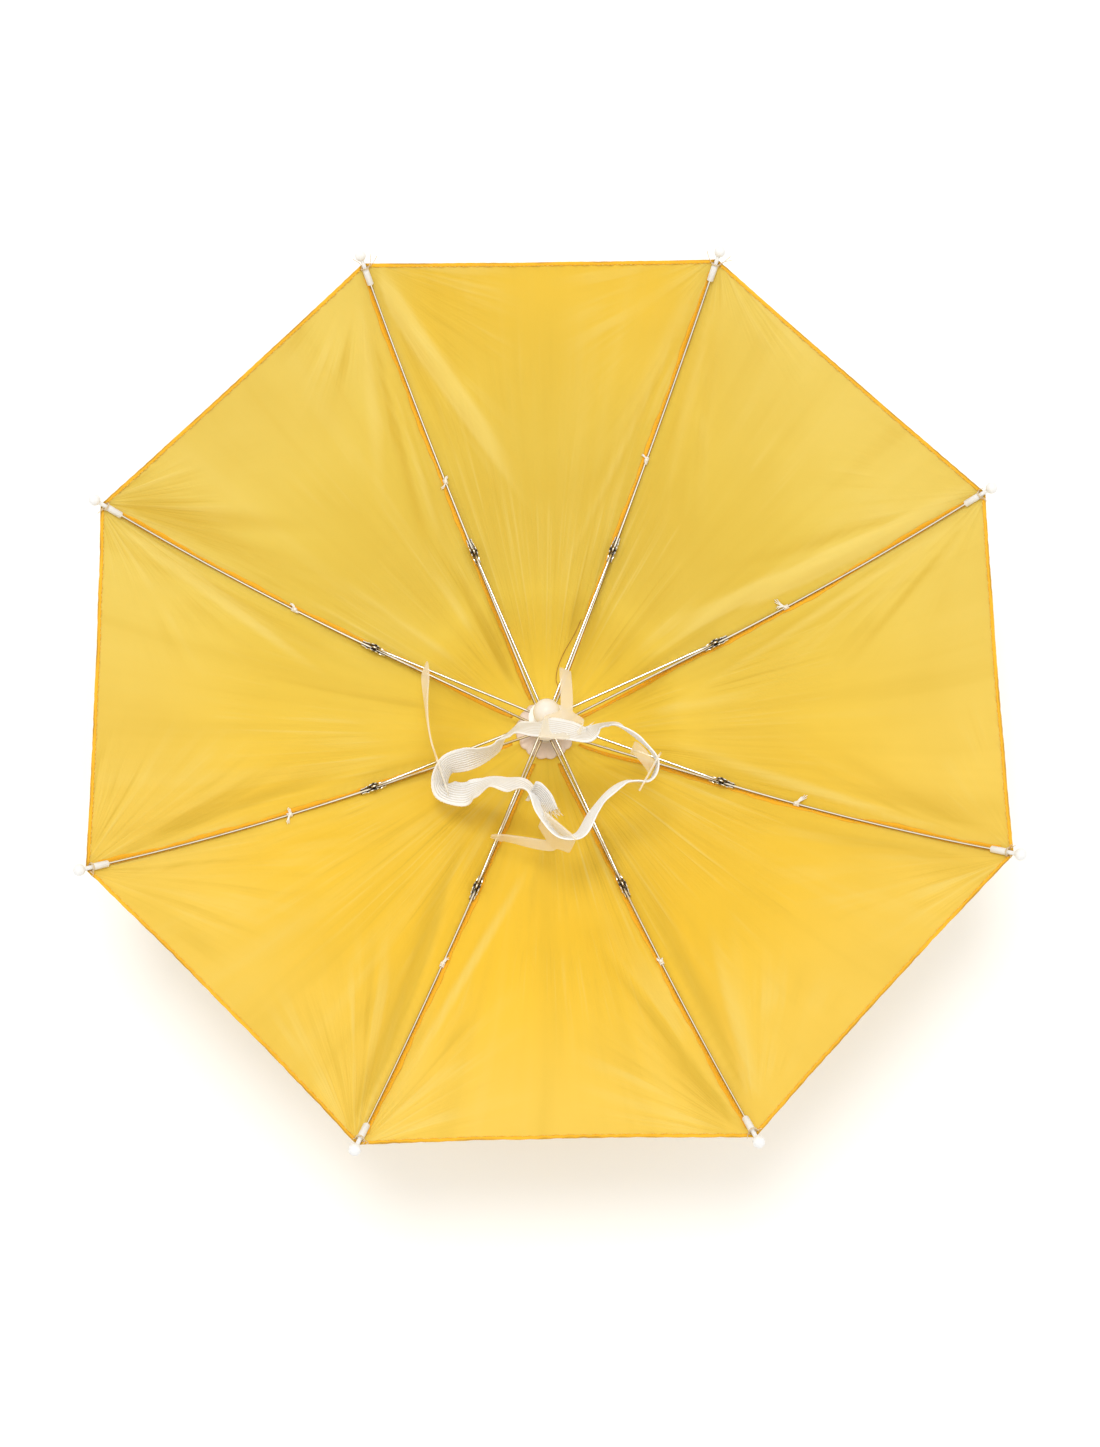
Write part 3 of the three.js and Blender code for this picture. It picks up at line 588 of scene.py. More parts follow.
def main_fold(gore, across, flat):
    depth = 0
    for home, start, end, strength in FOLDS:
        if home != gore:
            continue
        first, last = gore_flat(*start), gore_flat(*end)
        run = last - first
        way = (flat - first).dot(run) / run.length_squared
        off = (flat - first - run * min(max(way, 0), 1)).length
        fade = smooth(way, -0.15, 0.2) * (1 - smooth(way, 0.6, 1.3))
        depth += strength * fade * math.exp(-((off / FOLD_WIDTH) ** 2))
    return FOLD_DEPTH * depth * (1 - across**4)


def crease_rows():
    """Fine creases of each gore: some run out from the crown, some fan from the rib tips."""
    pick = random.Random(12)
    rows = []
    for gore in range(RIB_COUNT):
        for _ in range(7):
            lean = pick.uniform(-0.85, 0.85)
            inner = pick.uniform(0.05, 0.3)
            outer = inner + pick.uniform(0.2, 0.6)
            first = gore_flat(inner, lean)
            last = gore_flat(min(outer, 0.95), lean + pick.uniform(-0.08, 0.08))
            rows.append((gore, first, last, pick.uniform(2.0, 5.5), pick.uniform(-1.0, 0.9)))
        for side in (-1, 1):
            for k in range(6):
                reach = pick.uniform(0.25, 0.75)
                swing = side * (0.86 - 0.17 * k * pick.uniform(0.7, 1.2))
                first = gore_flat(0.985, side * 0.95)
                last = gore_flat(0.97 - reach, swing * (0.9 - 0.5 * reach))
                rows.append((gore, first, last, pick.uniform(2.5, 7), pick.uniform(-0.9, 1.1)))
    return rows


def fine_creases(flat, rows):
    """Height and strength of the fine creases at a place in a gore's plan."""
    height = 0
    mark = 0
    for first, last, wide, strength in rows:
        run = last - first
        way = (flat - first).dot(run) / run.length_squared
        if not -0.1 < way < 1.1:
            continue
        off = abs((flat - first).cross(run)) / run.length
        if off > 3 * wide:
            continue
        fade = smooth(way, -0.1, 0.15) * (1 - smooth(way, 0.45, 1.1))
        bump = strength * fade * math.exp(-((off / wide) ** 2))
        height += bump
        mark += bump
    return height, mark


def gore_place(gore, share, across, creases=(), lift=0.0):
    """Point of the cloth's inner face in millimetres, and how creased it is there."""
    half = math.pi / RIB_COUNT
    flat = gore_flat(share, across)
    radius = share * RIM_RADIUS
    slope = rib_slope(radius)
    pull = (0.021 + (0.009 - 0.021) * share**2) * smooth(radius, 0, TIE_RADIUS)
    belly = 2 * radius * math.sin(half) * pull * (1 - across**2)
    fine, mark = fine_creases(flat, creases)
    edge = (1 - abs(across)) * radius * math.sin(half)
    calm = smooth(edge, 0, 14) * smooth(radius, 24, 60)
    pucker = 0.22 * math.sin(radius * 0.9 + gore) * (1 - smooth(edge, 0, 13))
    pucker += 0.3 * math.sin(flat.y * 0.8 + 2 * gore) * (1 - smooth(RIM_RADIUS - radius, 3, 15))
    pucker *= smooth(radius, 40, 90) * smooth(edge, 0, 5)
    waves = 0.7 * noise.noise(Vector((flat.x * 0.022, flat.y * 0.03, gore * 7.3)))
    inward = belly + main_fold(gore, across, flat) + (fine + waves) * calm + pucker + lift
    point = Vector((
        flat.x - math.sin(slope) * inward, flat.y, seam_height(radius) + math.cos(slope) * inward))
    spin = Matrix.Rotation(plan_turn(gore + 0.5), 3, "Z")
    return spin @ point, mark * calm + pucker * 0.8


class HatCanopySettings(bpy.types.PropertyGroup):
    cloth_colour: FloatVectorProperty(
        name="Cloth colour", description="Main colour of the canopy", subtype="COLOR",
        size=3, min=0, max=1, default=(0.765, 0.57, 0.08))
    low_colour: FloatVectorProperty(
        name="Lower cloth", description="Colour of the gores that face the lower light",
        subtype="COLOR", size=3, min=0, max=1, default=(0.89, 0.575, 0.036))
    doubled_colour: FloatVectorProperty(
        name="Doubled cloth", description="Colour of the cloth where it lies double",
        subtype="COLOR", size=3, min=0, max=1, default=(1.0, 0.55, 0.03))
    # Painted light: colour laid on crease tops, lit sides of folds and rims.
    crease_light_colour: FloatVectorProperty(
        name="Crease colour", description="Colour on top of the creases", subtype="COLOR",
        size=3, min=0, max=1, default=(0.86, 0.69, 0.19))
    # Painted shade: colour laid in the folds, hollows and shaded patches.
    shade_colour: FloatVectorProperty(
        name="Fold colour", description="Colour in the folds", subtype="COLOR",
        size=3, min=0, max=1, default=(0.655, 0.435, 0.036))
    thickness: FloatProperty(
        name="Thickness", description="Thickness of the cloth", unit="LENGTH",
        default=0.0003, min=0.0001, max=0.001, precision=5)
    hem_width: FloatProperty(
        name="Hem width", description="Width of the folded hem", unit="LENGTH",
        default=0.0018, min=0.001, max=0.012, precision=4)
    seam_width: FloatProperty(
        name="Seam allowance", description="Width of the cloth left beside each seam",
        unit="LENGTH", default=0.0035, min=0.002, max=0.01, precision=4)
    stitch: FloatProperty(
        name="Stitch", description="Length from one stitch to the next", unit="LENGTH",
        default=0.003, min=0.0015, max=0.006, precision=4)


class HatFrameSettings(bpy.types.PropertyGroup):
    steel_colour: FloatVectorProperty(
        name="Wire colour", description="Colour of the bright wires", subtype="COLOR",
        size=3, min=0, max=1, default=(0.93, 0.85, 0.69))
    clip_colour: FloatVectorProperty(
        name="Clip colour", description="Colour of the joint clips", subtype="COLOR",
        size=3, min=0, max=1, default=(0.86, 0.82, 0.72))
    tip_colour: FloatVectorProperty(
        name="Tip colour", description="Colour of the tips and the crown cap",
        subtype="COLOR", size=3, min=0, max=1, default=(0.90, 0.895, 0.88))
    milky_colour: FloatVectorProperty(
        name="Milky colour", description="Colour of the half-clear plastic",
        subtype="COLOR", size=3, min=0, max=1, default=(0.97, 0.93, 0.86))


class HatBandSettings(bpy.types.PropertyGroup):
    width: FloatProperty(
        name="Width", description="Width of the elastic", unit="LENGTH",
        default=0.02, min=0.01, max=0.03, precision=4)
    thickness: FloatProperty(
        name="Thickness", description="Thickness of the elastic", unit="LENGTH",
        default=0.0009, min=0.0005, max=0.0012, precision=5)
    colour: FloatVectorProperty(
        name="Colour", description="Colour of the elastic", subtype="COLOR",
        size=3, min=0, max=1, default=(0.99, 0.98, 0.96))


class HatStageSettings(bpy.types.PropertyGroup):
    lens: FloatProperty(
        name="Lens", description="Focal length in millimetres", default=44.43, min=20, max=120)
    floor_colour: FloatVectorProperty(
        name="Floor colour", description="Colour of the floor", subtype="COLOR",
        size=3, min=0, max=1, default=(0.97, 0.97, 0.965))
    key_power: FloatProperty(
        name="Key light", description="Power of the large light above", unit="POWER",
        default=19.0, min=0, max=100)


class HAT_OT_canopy(bpy.types.Operator):
    """Makes the sewn cloth of eight gores with its folds and creases"""

    bl_idname = "hat.canopy"
    bl_label = "Canopy"

    def execute(self, context):
        sizes = context.scene.hat_canopy
        rows = crease_rows()
        bm = bmesh.new()
        mark = bm.verts.layers.float.new("crease")
        for gore in range(RIB_COUNT):
            marks = []
            own = [row[1:] for row in rows if row[0] == gore]

            def place(across, along):
                share = CLOTH_START + (1 - CLOTH_START) * along
                point, creased = gore_place(gore, share, 2 * across - 1, own)
                marks.append(creased)
                return point

            def uv(across, along):
                flat = gore_flat(along, 2 * across - 1)
                return (flat.y * MM + gore * 0.5, flat.x * MM)

            for vert, creased in zip(grid_sheet(bm, 44, 118, place, uv), marks):
                vert[mark] = creased
        bmesh.ops.remove_doubles(bm, verts=bm.verts, dist=2e-5)
        cloth = canopy_finish(
            "canopy cloth", sizes.cloth_colour, sizes.low_colour, sizes.crease_light_colour,
            sizes.shade_colour)
        nodes = [f"gore_{k + 1}" for k in range(RIB_COUNT)]
        canopy = build("canopy", bm, cloth, nodes, closed=False)
        thicken(canopy, sizes.thickness / MM)
        return {"FINISHED"}


class HAT_OT_seams(bpy.types.Operator):
    """Makes the hem, the seam allowances and their stitches"""

    bl_idname = "hat.seams"
    bl_label = "Hem, seams and stitches"

    def execute(self, context):
        sizes = context.scene.hat_canopy
        hemmed = doubled_finish(
            "hem cloth", sizes.doubled_colour, (0.35, 0.16, 0.02), sizes.hem_width)
        doubled = doubled_finish(
            "seam cloth", (1.0, 0.50, 0.02), (0.80, 0.30, 0.01), 10.0)
        creases = crease_rows()
        deep = sizes.hem_width / MM / RIM_RADIUS
        bm = bmesh.new()
        for gore in range(RIB_COUNT):
            own = [row[1:] for row in creases if row[0] == gore]

            def place(across, along):
                side = 0.985 * (2 * across - 1)
                drop = 0.25 * math.sin(math.pi * along)
                share = 1.0006 - deep * (1 - along)
                return gore_place(gore, share, side, own, 0.42 + drop)[0]

            def uv(across, along):
                return (gore * 0.5 + across * 0.23, along * sizes.hem_width)

            grid_sheet(bm, 60, 5, place, uv)
        hem = build("canopy_hem", bm, hemmed, closed=False)
        thicken(hem, 0.25)

        bm = bmesh.new()
        pick = random.Random(5)
        for rib, side in [(rib, side) for rib in range(RIB_COUNT) for side in (-1, 1)]:
            gore = rib if side > 0 else (rib - 1) % RIB_COUNT
            phase = pick.uniform(0, 6)
            own = [row[1:] for row in creases if row[0] == gore]
            inside, outside = (1 if fold == side else 0.2 for fold in ALLOWANCES[rib])

            def place(across, along):
                share = 0.085 + 0.895 * along
                radius = share * RIM_RADIUS
                half_width = radius * math.sin(math.pi / RIB_COUNT)
                wavy = 1 + 0.16 * math.sin(radius * 0.11 + phase) + 0.08 * math.sin(radius * 0.43)
                wavy *= 0.6 + 0.4 * smooth(radius, 40, 130)
                wavy *= inside + (outside - inside) * smooth(radius, 195, 235)
                width = sizes.seam_width / MM * wavy * across
                inner = 0.15 + 0.5 * abs(noise.noise(Vector((radius * 0.06, across * 2, rib))))
                spot = side * (1 - width / half_width)
                return gore_place(gore, share, spot, own, 0.45 + inner * across)[0]

            def uv(across, along):
                return (across * sizes.seam_width, along * 0.28 + rib * 0.4)

            grid_sheet(bm, 4, 110, place, uv)
        allowance = build("seam_allowances", bm, doubled, closed=False)
        thicken(allowance, 0.2)

        thread = thread_finish("sewing thread", (0.93, 0.62, 0.13), (0.80, 0.42, 0.04))
        bm = bmesh.new()
        pitch = sizes.stitch / MM
        for rib in range(RIB_COUNT):
            count = int(0.88 * RIM_RADIUS / pitch)
            for k in range(count):
                radius = 0.1 * RIM_RADIUS + k * pitch
                side = ALLOWANCES[rib][radius > 215]
                gore = rib if side > 0 else (rib - 1) % RIB_COUNT
                half_width = radius * math.sin(math.pi / RIB_COUNT)
                spot = side * (1 - 1.6 / half_width)
                self.stitch(bm, gore, radius / RIM_RADIUS, spot, pitch, False)
        seamed = build("seam_stitches", bm, thread)
        bm = bmesh.new()
        for gore in range(RIB_COUNT):
            length = 2 * RIM_RADIUS * math.sin(math.pi / RIB_COUNT)
            count = int(length * 0.97 / pitch)
            for k in range(count):
                spot = 0.97 * (2 * (k + 0.5) / count - 1)
                self.stitch(bm, gore, 1 - deep * 0.8, spot, pitch, True)
        stitched = build("hem_stitches", bm, thread)
        return {"FINISHED"}

    @staticmethod
    def stitch(bm, gore, share, across, pitch, along_hem):
        """One short stitch that lies on the doubled cloth."""
        here = gore_place(gore, share, across, (), 1.0)[0]
        step = (0, 0.004) if along_hem else (0.004, 0)
        there = gore_place(gore, share + step[0], across + step[1], (), 1.0)[0]
        along = (there - here).normalized()
        side = Z.cross(along).normalized()
        place = basis(here, along, side, along.cross(side))
        scale = Matrix.Diagonal((pitch * 0.38, 0.22, 0.2, 1))
        bmesh.ops.create_icosphere(bm, subdivisions=1, radius=MM, matrix=place @ scale)


class HAT_OT_wires(bpy.types.Operator):
    """Makes the ribs and stretchers of bright round wire"""

    bl_idname = "hat.wires"
    bl_label = "Ribs and stretchers"

    def execute(self, context):
        sizes = context.scene.hat_frame
        # The second colour is the painted shade on the wires' flanks.
        steel = metal_finish("bright wire", sizes.steel_colour, (0.14, 0.09, 0.05), 0.16, 60)
        for rib in range(RIB_COUNT):
            turn = plan_turn(rib)
            bm = bmesh.new()
            radii = [5.9 + (TIP_START + 6 - 5.9) * k / 60 for k in range(61)]
            drawn = [0.9 - 0.2 * smooth(r, CLIP_RADIUS, TIE_RADIUS) for r in radii]
            tube(bm, [meridian(turn, r, rib_height(r)) for r in radii], drawn, 12)
            build(
                f"rib_wire_{rib + 1}", bm, steel, [f"rib_{rib + 1}"],
                level=lambda spot: math.cos(rib_slope(spot.xy.length / MM)))

            point, along, side, lift = rib_frame(rib, CLIP_RADIUS)
            rivet = point + lift * RIVET_HEIGHT
            inner = meridian(turn, 5.6, RUNNER_MIDDLE)
            way = (rivet - inner).normalized()
            bm = bmesh.new()
            end = rivet - way * 1.9
            tube(bm, [inner.lerp(end, k / 12) for k in range(13)], 0.86, 12)
            ring_round(bm, rivet, side, 1.55, 0.72, 20, 8)
            build(f"stretcher_wire_{rib + 1}", bm, steel, [f"stretcher_{rib + 1}"])
        return {"FINISHED"}


class HAT_OT_clips(bpy.types.Operator):
    """Makes the folded joint clips with their rivets"""

    bl_idname = "hat.clips"
    bl_label = "Joint clips"

    def execute(self, context):
        sizes = context.scene.hat_frame
        # The second colours are the painted shade on the flanks of the clips and rivets.
        sheet = metal_finish("stamped clip", sizes.clip_colour, (0.30, 0.25, 0.17), 0.22, 300, 0.3)
        dark = metal_finish("rivet", (0.22, 0.19, 0.16), (0.06, 0.05, 0.04), 0.3, 400, 0.5)
        for rib in range(RIB_COUNT):
            point, along, side, lift = rib_frame(rib, CLIP_RADIUS)
            place = basis(point, along, side, lift)
            bm = bmesh.new()
            self.channel(bm, place)
            clip = build(
                f"clip_channel_{rib + 1}", bm, sheet,
                [f"joint_clip_{rib + 1}"], crisp=35)
            edge = clip.modifiers.new("edge", "BEVEL")
            edge.width, edge.segments, edge.limit_method = 0.15 * MM, 2, "ANGLE"
            bm = bmesh.new()
            pin = basis(point + lift * RIVET_HEIGHT, lift, along, side)
            head = [(0, 2.65), (0.7, 2.6), (1.05, 2.4), (1.15, 2.1), (0.8, 2.05), (0.8, 0)]
            turned(bm, head + [(r, -h) for r, h in head[::-1]], pin, 16)
            build(f"clip_rivet_{rib + 1}", bm, dark)
        return {"FINISHED"}

    @staticmethod
    def channel(bm, place):
        """U of thin sheet along the rib, with an ear on each side for the rivet."""
        made = bmesh.ops.create_grid(bm, x_segments=22, y_segments=4, size=0.5)
        rows = (-1.0, -0.9, 0.0, 0.9, 1.0)
        heights = (1, 0, 0, 0, 1)
        for vert in made["verts"]:
            along, row = vert.co.x * 17.4, round((vert.co.y + 0.5) * 4)
            ear = 1 - smooth(abs(along), 2.4, 4.6)
            crimp = heights[row] * smooth(abs(along), 4.2, 6.4)
            raised = heights[row] * (3.1 + 2.5 * ear) + 0.5 * crimp
            width = rows[row] * (1.68 - 0.55 * crimp)
            vert.co = place @ at(along, width, raised - 2.1)
        bmesh.ops.recalc_face_normals(bm, faces=bm.faces)
        bmesh.ops.solidify(bm, geom=bm.faces[:] + bm.edges[:] + bm.verts[:], thickness=0.7 * MM)


class HAT_OT_tips(bpy.types.Operator):
    """Makes the sleeved ball tips of the ribs"""

    bl_idname = "hat.tips"
    bl_label = "Rib tips"

    def execute(self, context):
        sizes = context.scene.hat_frame
        white = plastic_finish("white plastic", sizes.tip_colour, (0.90, 0.88, 0.84), 0.0, 0.32)
        profile = [(0, 9.5), (1.0, 9.5), (1.0, 3.5), (1.2, 3.2), (1.85, 3.2), (2.1, 3.6)]
        profile += [(2.12, 11.4), (2.08, 12.8), (1.85, 13.5), (1.5, 13.8), (1.3, 14.4), (1.3, 18.4)]
        rise = math.asin(1.3 / 3.6)
        for k in range(13):
            turn = rise + (math.pi - rise) * k / 12
            profile.append((3.6 * math.sin(turn), 19.5 + 3.6 * (math.cos(rise) - math.cos(turn))))
        for rib in range(RIB_COUNT):
            point, along, side, lift = rib_frame(rib, TIP_START)
            bm = bmesh.new()
            turned(bm, profile, basis(point, lift, -side, along), 24)
            build(f"tip_{rib + 1}", bm, white, [f"rib_tip_{rib + 1}"], crisp=50)
        return {"FINISHED"}


class HAT_OT_crown(bpy.types.Operator):
    """Makes the cap, washer, hub, post, runner and knob at the crown"""

    bl_idname = "hat.crown"
    bl_label = "Crown fittings"

    def execute(self, context):
        sizes = context.scene.hat_frame
        milky = plastic_finish("milky plastic", sizes.milky_colour, (0.97, 0.94, 0.88), 0.12, 0.12)
        blush = plastic_finish("blush plastic", (0.99, 0.86, 0.76), (0.98, 0.89, 0.82), 0.2, 0.26)
        white = plastic_finish("cap plastic", sizes.tip_colour, (0.80, 0.78, 0.74), 0.0, 0.3)
        parts = [
            ("cap", [(0, 0), (13.4, 0), (14.3, 0.3), (15.6, 1.5), (16, 2.2), (16, 3.1),
                     (15.6, 3.5), (3.3, 3.5), (3.3, 1.5), (0, 1.5)], white, "white_plastic",
             "crown_cap"),
            ("hub_ring", self.spool(7.0, 7.2, 9), milky, "milky_plastic", "rib_hub"),
            ("post_rod", [(0, 1.8), (3, 1.8), (3, 64.6), (0, 64.6)], milky, "milky_plastic",
             "post"),
            ("runner_ring", self.spool(40, 5.95, 12), milky, "milky_plastic", "runner"),
            ("knob", self.dome(60.95, 8.5, 9.0), milky, "milky_plastic", "runner_knob"),
        ]
        for name, profile, finish, slot, node in parts:
            bm = bmesh.new()
            turned(bm, profile, steps=56)
            build(name, bm, finish, [node], crisp=38)
        bm = bmesh.new()

        def place(across, along):
            turn = 2 * math.pi * across
            lobe = abs(math.sin(turn * 8))
            radius = 3.3 + (20.6 - 1.5 * (1 - lobe) - 3.3) * along
            flute = 0.35 * lobe * smooth(along, 0.35, 0.9) - 0.25 * smooth(along, 0.9, 1)
            return meridian(turn, radius, 6.35 + flute)

        grid_sheet(bm, 256, 14, place)
        washer = build("washer", bm, blush, ["crown_washer"], closed=False)
        thicken(washer, 1.2)
        bm = bmesh.new()
        ring_round(bm, Vector((0, 0, 10.6)), Z, 5.75, 0.45, 48, 8)
        ring_round(bm, Vector((0, 0, RUNNER_MIDDLE)), Z, 5.75, 0.45, 48, 8)
        # The second colour is the painted shade on the binding wires' flanks.
        steel = metal_finish("binding wire", sizes.steel_colour, (0.34, 0.29, 0.22), 0.2, 200)
        build("binding_wires", bm, steel)
        return {"FINISHED"}

    @staticmethod
    def spool(level, height, radius):
        """Profile of a grooved ring with rounded flanges."""
        top = level + height
        soft = 0.25
        return [
            (3.3, level), (radius - soft, level), (radius, level + soft),
            (radius, level + 1.3 - soft), (radius - soft, level + 1.3), (5.2, level + 1.3),
            (5.2, top - 1.3), (radius - soft, top - 1.3), (radius, top - 1.3 + soft),
            (radius, top - soft), (radius - soft, top), (3.3, top), (3.3, level),
        ]

    @staticmethod
    def dome(level, height, radius):
        """Profile of the knob: a rim and a dome."""
        profile = [(0, level + 4.25), (3.3, level + 4.25), (3.3, level), (radius - 0.5, level)]
        profile += [(radius, level + 0.4), (radius, level + 1.1)]
        for k in range(1, 13):
            turn = k / 12 * math.pi / 2
            profile.append(
                ((radius - 0.1) * math.cos(turn), level + 1.1 + (height - 1.1) * math.sin(turn)))
        return profile


class HAT_OT_threads(bpy.types.Operator):
    """Makes the thread ties on the ribs and the tufts at the tips"""

    bl_idname = "hat.threads"
    bl_label = "Thread ties and tufts"

    def execute(self, context):
        white = thread_finish("white thread", (0.95, 0.92, 0.84), (0.82, 0.76, 0.66))
        bm = bmesh.new()
        for rib, (radius, first, second, length) in enumerate(TIES):
            point, along, side, lift = rib_frame(rib, radius)
            for shift in (-1.4, -0.7, 0, 0.7, 1.4):
                ring_round(bm, point + along * shift, along, 1.14, 0.42, 16, 6)
            knot = point + lift * 1.6
            for turn in (0.5, 1.9, 3.2):
                axis = along * math.cos(turn) + side * math.sin(turn) + lift * 0.4
                ring_round(bm, knot, axis, 0.95, 0.5, 14, 6)
            for k, angle in enumerate((first, second)):
                for strand in (-1, 0, 1):
                    turn = math.radians(angle + 9 * strand)
                    away = along * math.cos(turn) + side * math.sin(turn)
                    reach = length * (1 - 0.3 * k) * (1 - 0.12 * abs(strand))
                    bend = side * (0.7 if k else -0.7) + along * 0.3 * strand
                    path = [
                        knot + away * reach * s + bend * math.sin(s * 3)
                        + lift * (1.1 * s - 1.7 * s * s)
                        for s in (n / 8 for n in range(9))
                    ]
                    tube(bm, path, [0.36 - 0.1 * n / 8 for n in range(9)], 6)
        build("rib_ties", bm, white)
        raw = thread_finish("raw thread", (0.78, 0.64, 0.42), (0.60, 0.45, 0.25))

        bm = bmesh.new()
        pick = random.Random(3)
        for rib in range(RIB_COUNT):
            point, along, side, lift = rib_frame(rib, TIP_START + 10.5)
            ring_round(bm, point, along, 2.5, 0.28, 18, 6)
            ring_round(bm, point + along * 0.5, along, 2.5, 0.28, 18, 6)
            for k in range(3):
                turn = math.radians(pick.uniform(-60, 60))
                away = along * math.cos(turn) + side * math.sin(turn)
                reach = pick.uniform(2.5, 5) + (5 if rib < 2 else 0)
                curl = pick.uniform(-1.6, 1.6)
                root = point + side * (2.4 if math.sin(turn) > 0 else -2.4)
                path = [
                    root + away * reach * s + side * curl * math.sin(s * 4) + lift * 0.8 * s
                    for s in (n / 8 for n in range(9))
                ]
                tube(bm, path, 0.2, 6)
        build("tip_ties", bm, raw)
        return {"FINISHED"}


class HAT_OT_loose_thread(bpy.types.Operator):
    """Makes the loose brown thread that lies on the cloth near the crown"""

    bl_idname = "hat.loose_thread"
    bl_label = "Loose thread"

    def execute(self, context):
        brown = thread_finish("brown thread", (0.50, 0.20, 0.02), (0.30, 0.11, 0.012))
        stations = [(24.3, 73.5), (19.6, 64.5), (12.5, 53.5), (8.2, 43.5), (7.2, 36), (9.3, 30)]
        points = [Vector((x, y, 0)) for x, y in stations]
        way = catmull(points, False)
        path = []
        for k in range(33):
            spot = way(k / 32)
            radius = spot.length
            turn = math.atan2(spot.y, spot.x)
            share = radius / RIM_RADIUS
            gore = 0 if turn > plan_turn(1) else 1
            middle = plan_turn(gore + 0.5)
            half = math.pi / RIB_COUNT
            across = math.tan(turn - middle) / math.tan(half)
            share = radius * math.cos(turn - middle) / math.cos(half) / RIM_RADIUS
            lift = 0.75 + 0.5 * math.sin(k / 32 * math.pi)
            path.append(gore_place(gore, share, across, (), lift)[0])
        bm = bmesh.new()
        tube(bm, path, 0.2, 8)
        piece = build("loose_thread", bm, brown)
        metres = [p * MM for p in path]
        length = sum((b - a).length for a, b in zip(metres, metres[1:]))
        return {"FINISHED"}


def catmull(points, closed):
    """Centripetal curve through points: a function of the share of its length in points."""
    count = len(points)

    def point(index):
        if closed:
            return points[index % count]
        if index < 0:
            return points[0] * 2 - points[1]
        if index >= count:
            return points[-1] * 2 - points[-2]
        return points[index]

    def way(share):
        place = (count if closed else count - 1) * share
        start = int(math.floor(place))
        if not closed and start >= count - 1:
            start = count - 2
        weight = place - start
        p0, p1, p2, p3 = (point(start + k) for k in (-1, 0, 1, 2))
        d0, d1, d2 = (max((b - a).length, 1e-6) ** 0.5 for a, b in ((p0, p1), (p1, p2), (p2, p3)))
        t1 = ((p1 - p0) / d0 - (p2 - p0) / (d0 + d1) + (p2 - p1) / d1) * d1
        t2 = ((p2 - p1) / d1 - (p3 - p1) / (d1 + d2) + (p3 - p2) / d2) * d1
        c2 = (p2 - p1) * 3 - t1 * 2 - t2
        c3 = (p1 - p2) * 2 + t1 + t2
        return p1 + t1 * weight + c2 * weight**2 + c3 * weight**3

    return way


def band_place(x, y, z):
    return Vector((x * LOOP_REACH, y * LOOP_REACH, z * LOOP_RISE)) + LOOP_MIDDLE


BAND_WAY = catmull([band_place(*row[:3]) for row in BAND_STATIONS], True)


def lean_frame(point, travel, lean):
    """Frame of a flat band: its point, travel, width direction and face."""
    out = Vector((-travel.y, travel.x, 0)).normalized()
    rise = out.cross(travel).normalized()
    rise *= 1 if rise.z > 0 else -1
    angle = math.radians(lean)
    wide = rise * math.cos(angle) + out * math.sin(angle)
    return point, travel, wide, travel.cross(wide)


def band_frame(share):
    share %= 1
    place = share * len(BAND_STATIONS)
    index = int(place) % len(BAND_STATIONS)
    first, second = BAND_STATIONS[index][3], BAND_STATIONS[(index + 1) % len(BAND_STATIONS)][3]
    lean = first + (second - first) * smooth(place - int(place), 0, 1)
    travel = (BAND_WAY((share + 0.0005) % 1) - BAND_WAY((share - 0.0005) % 1)).normalized()
    return lean_frame(BAND_WAY(share), travel, lean)


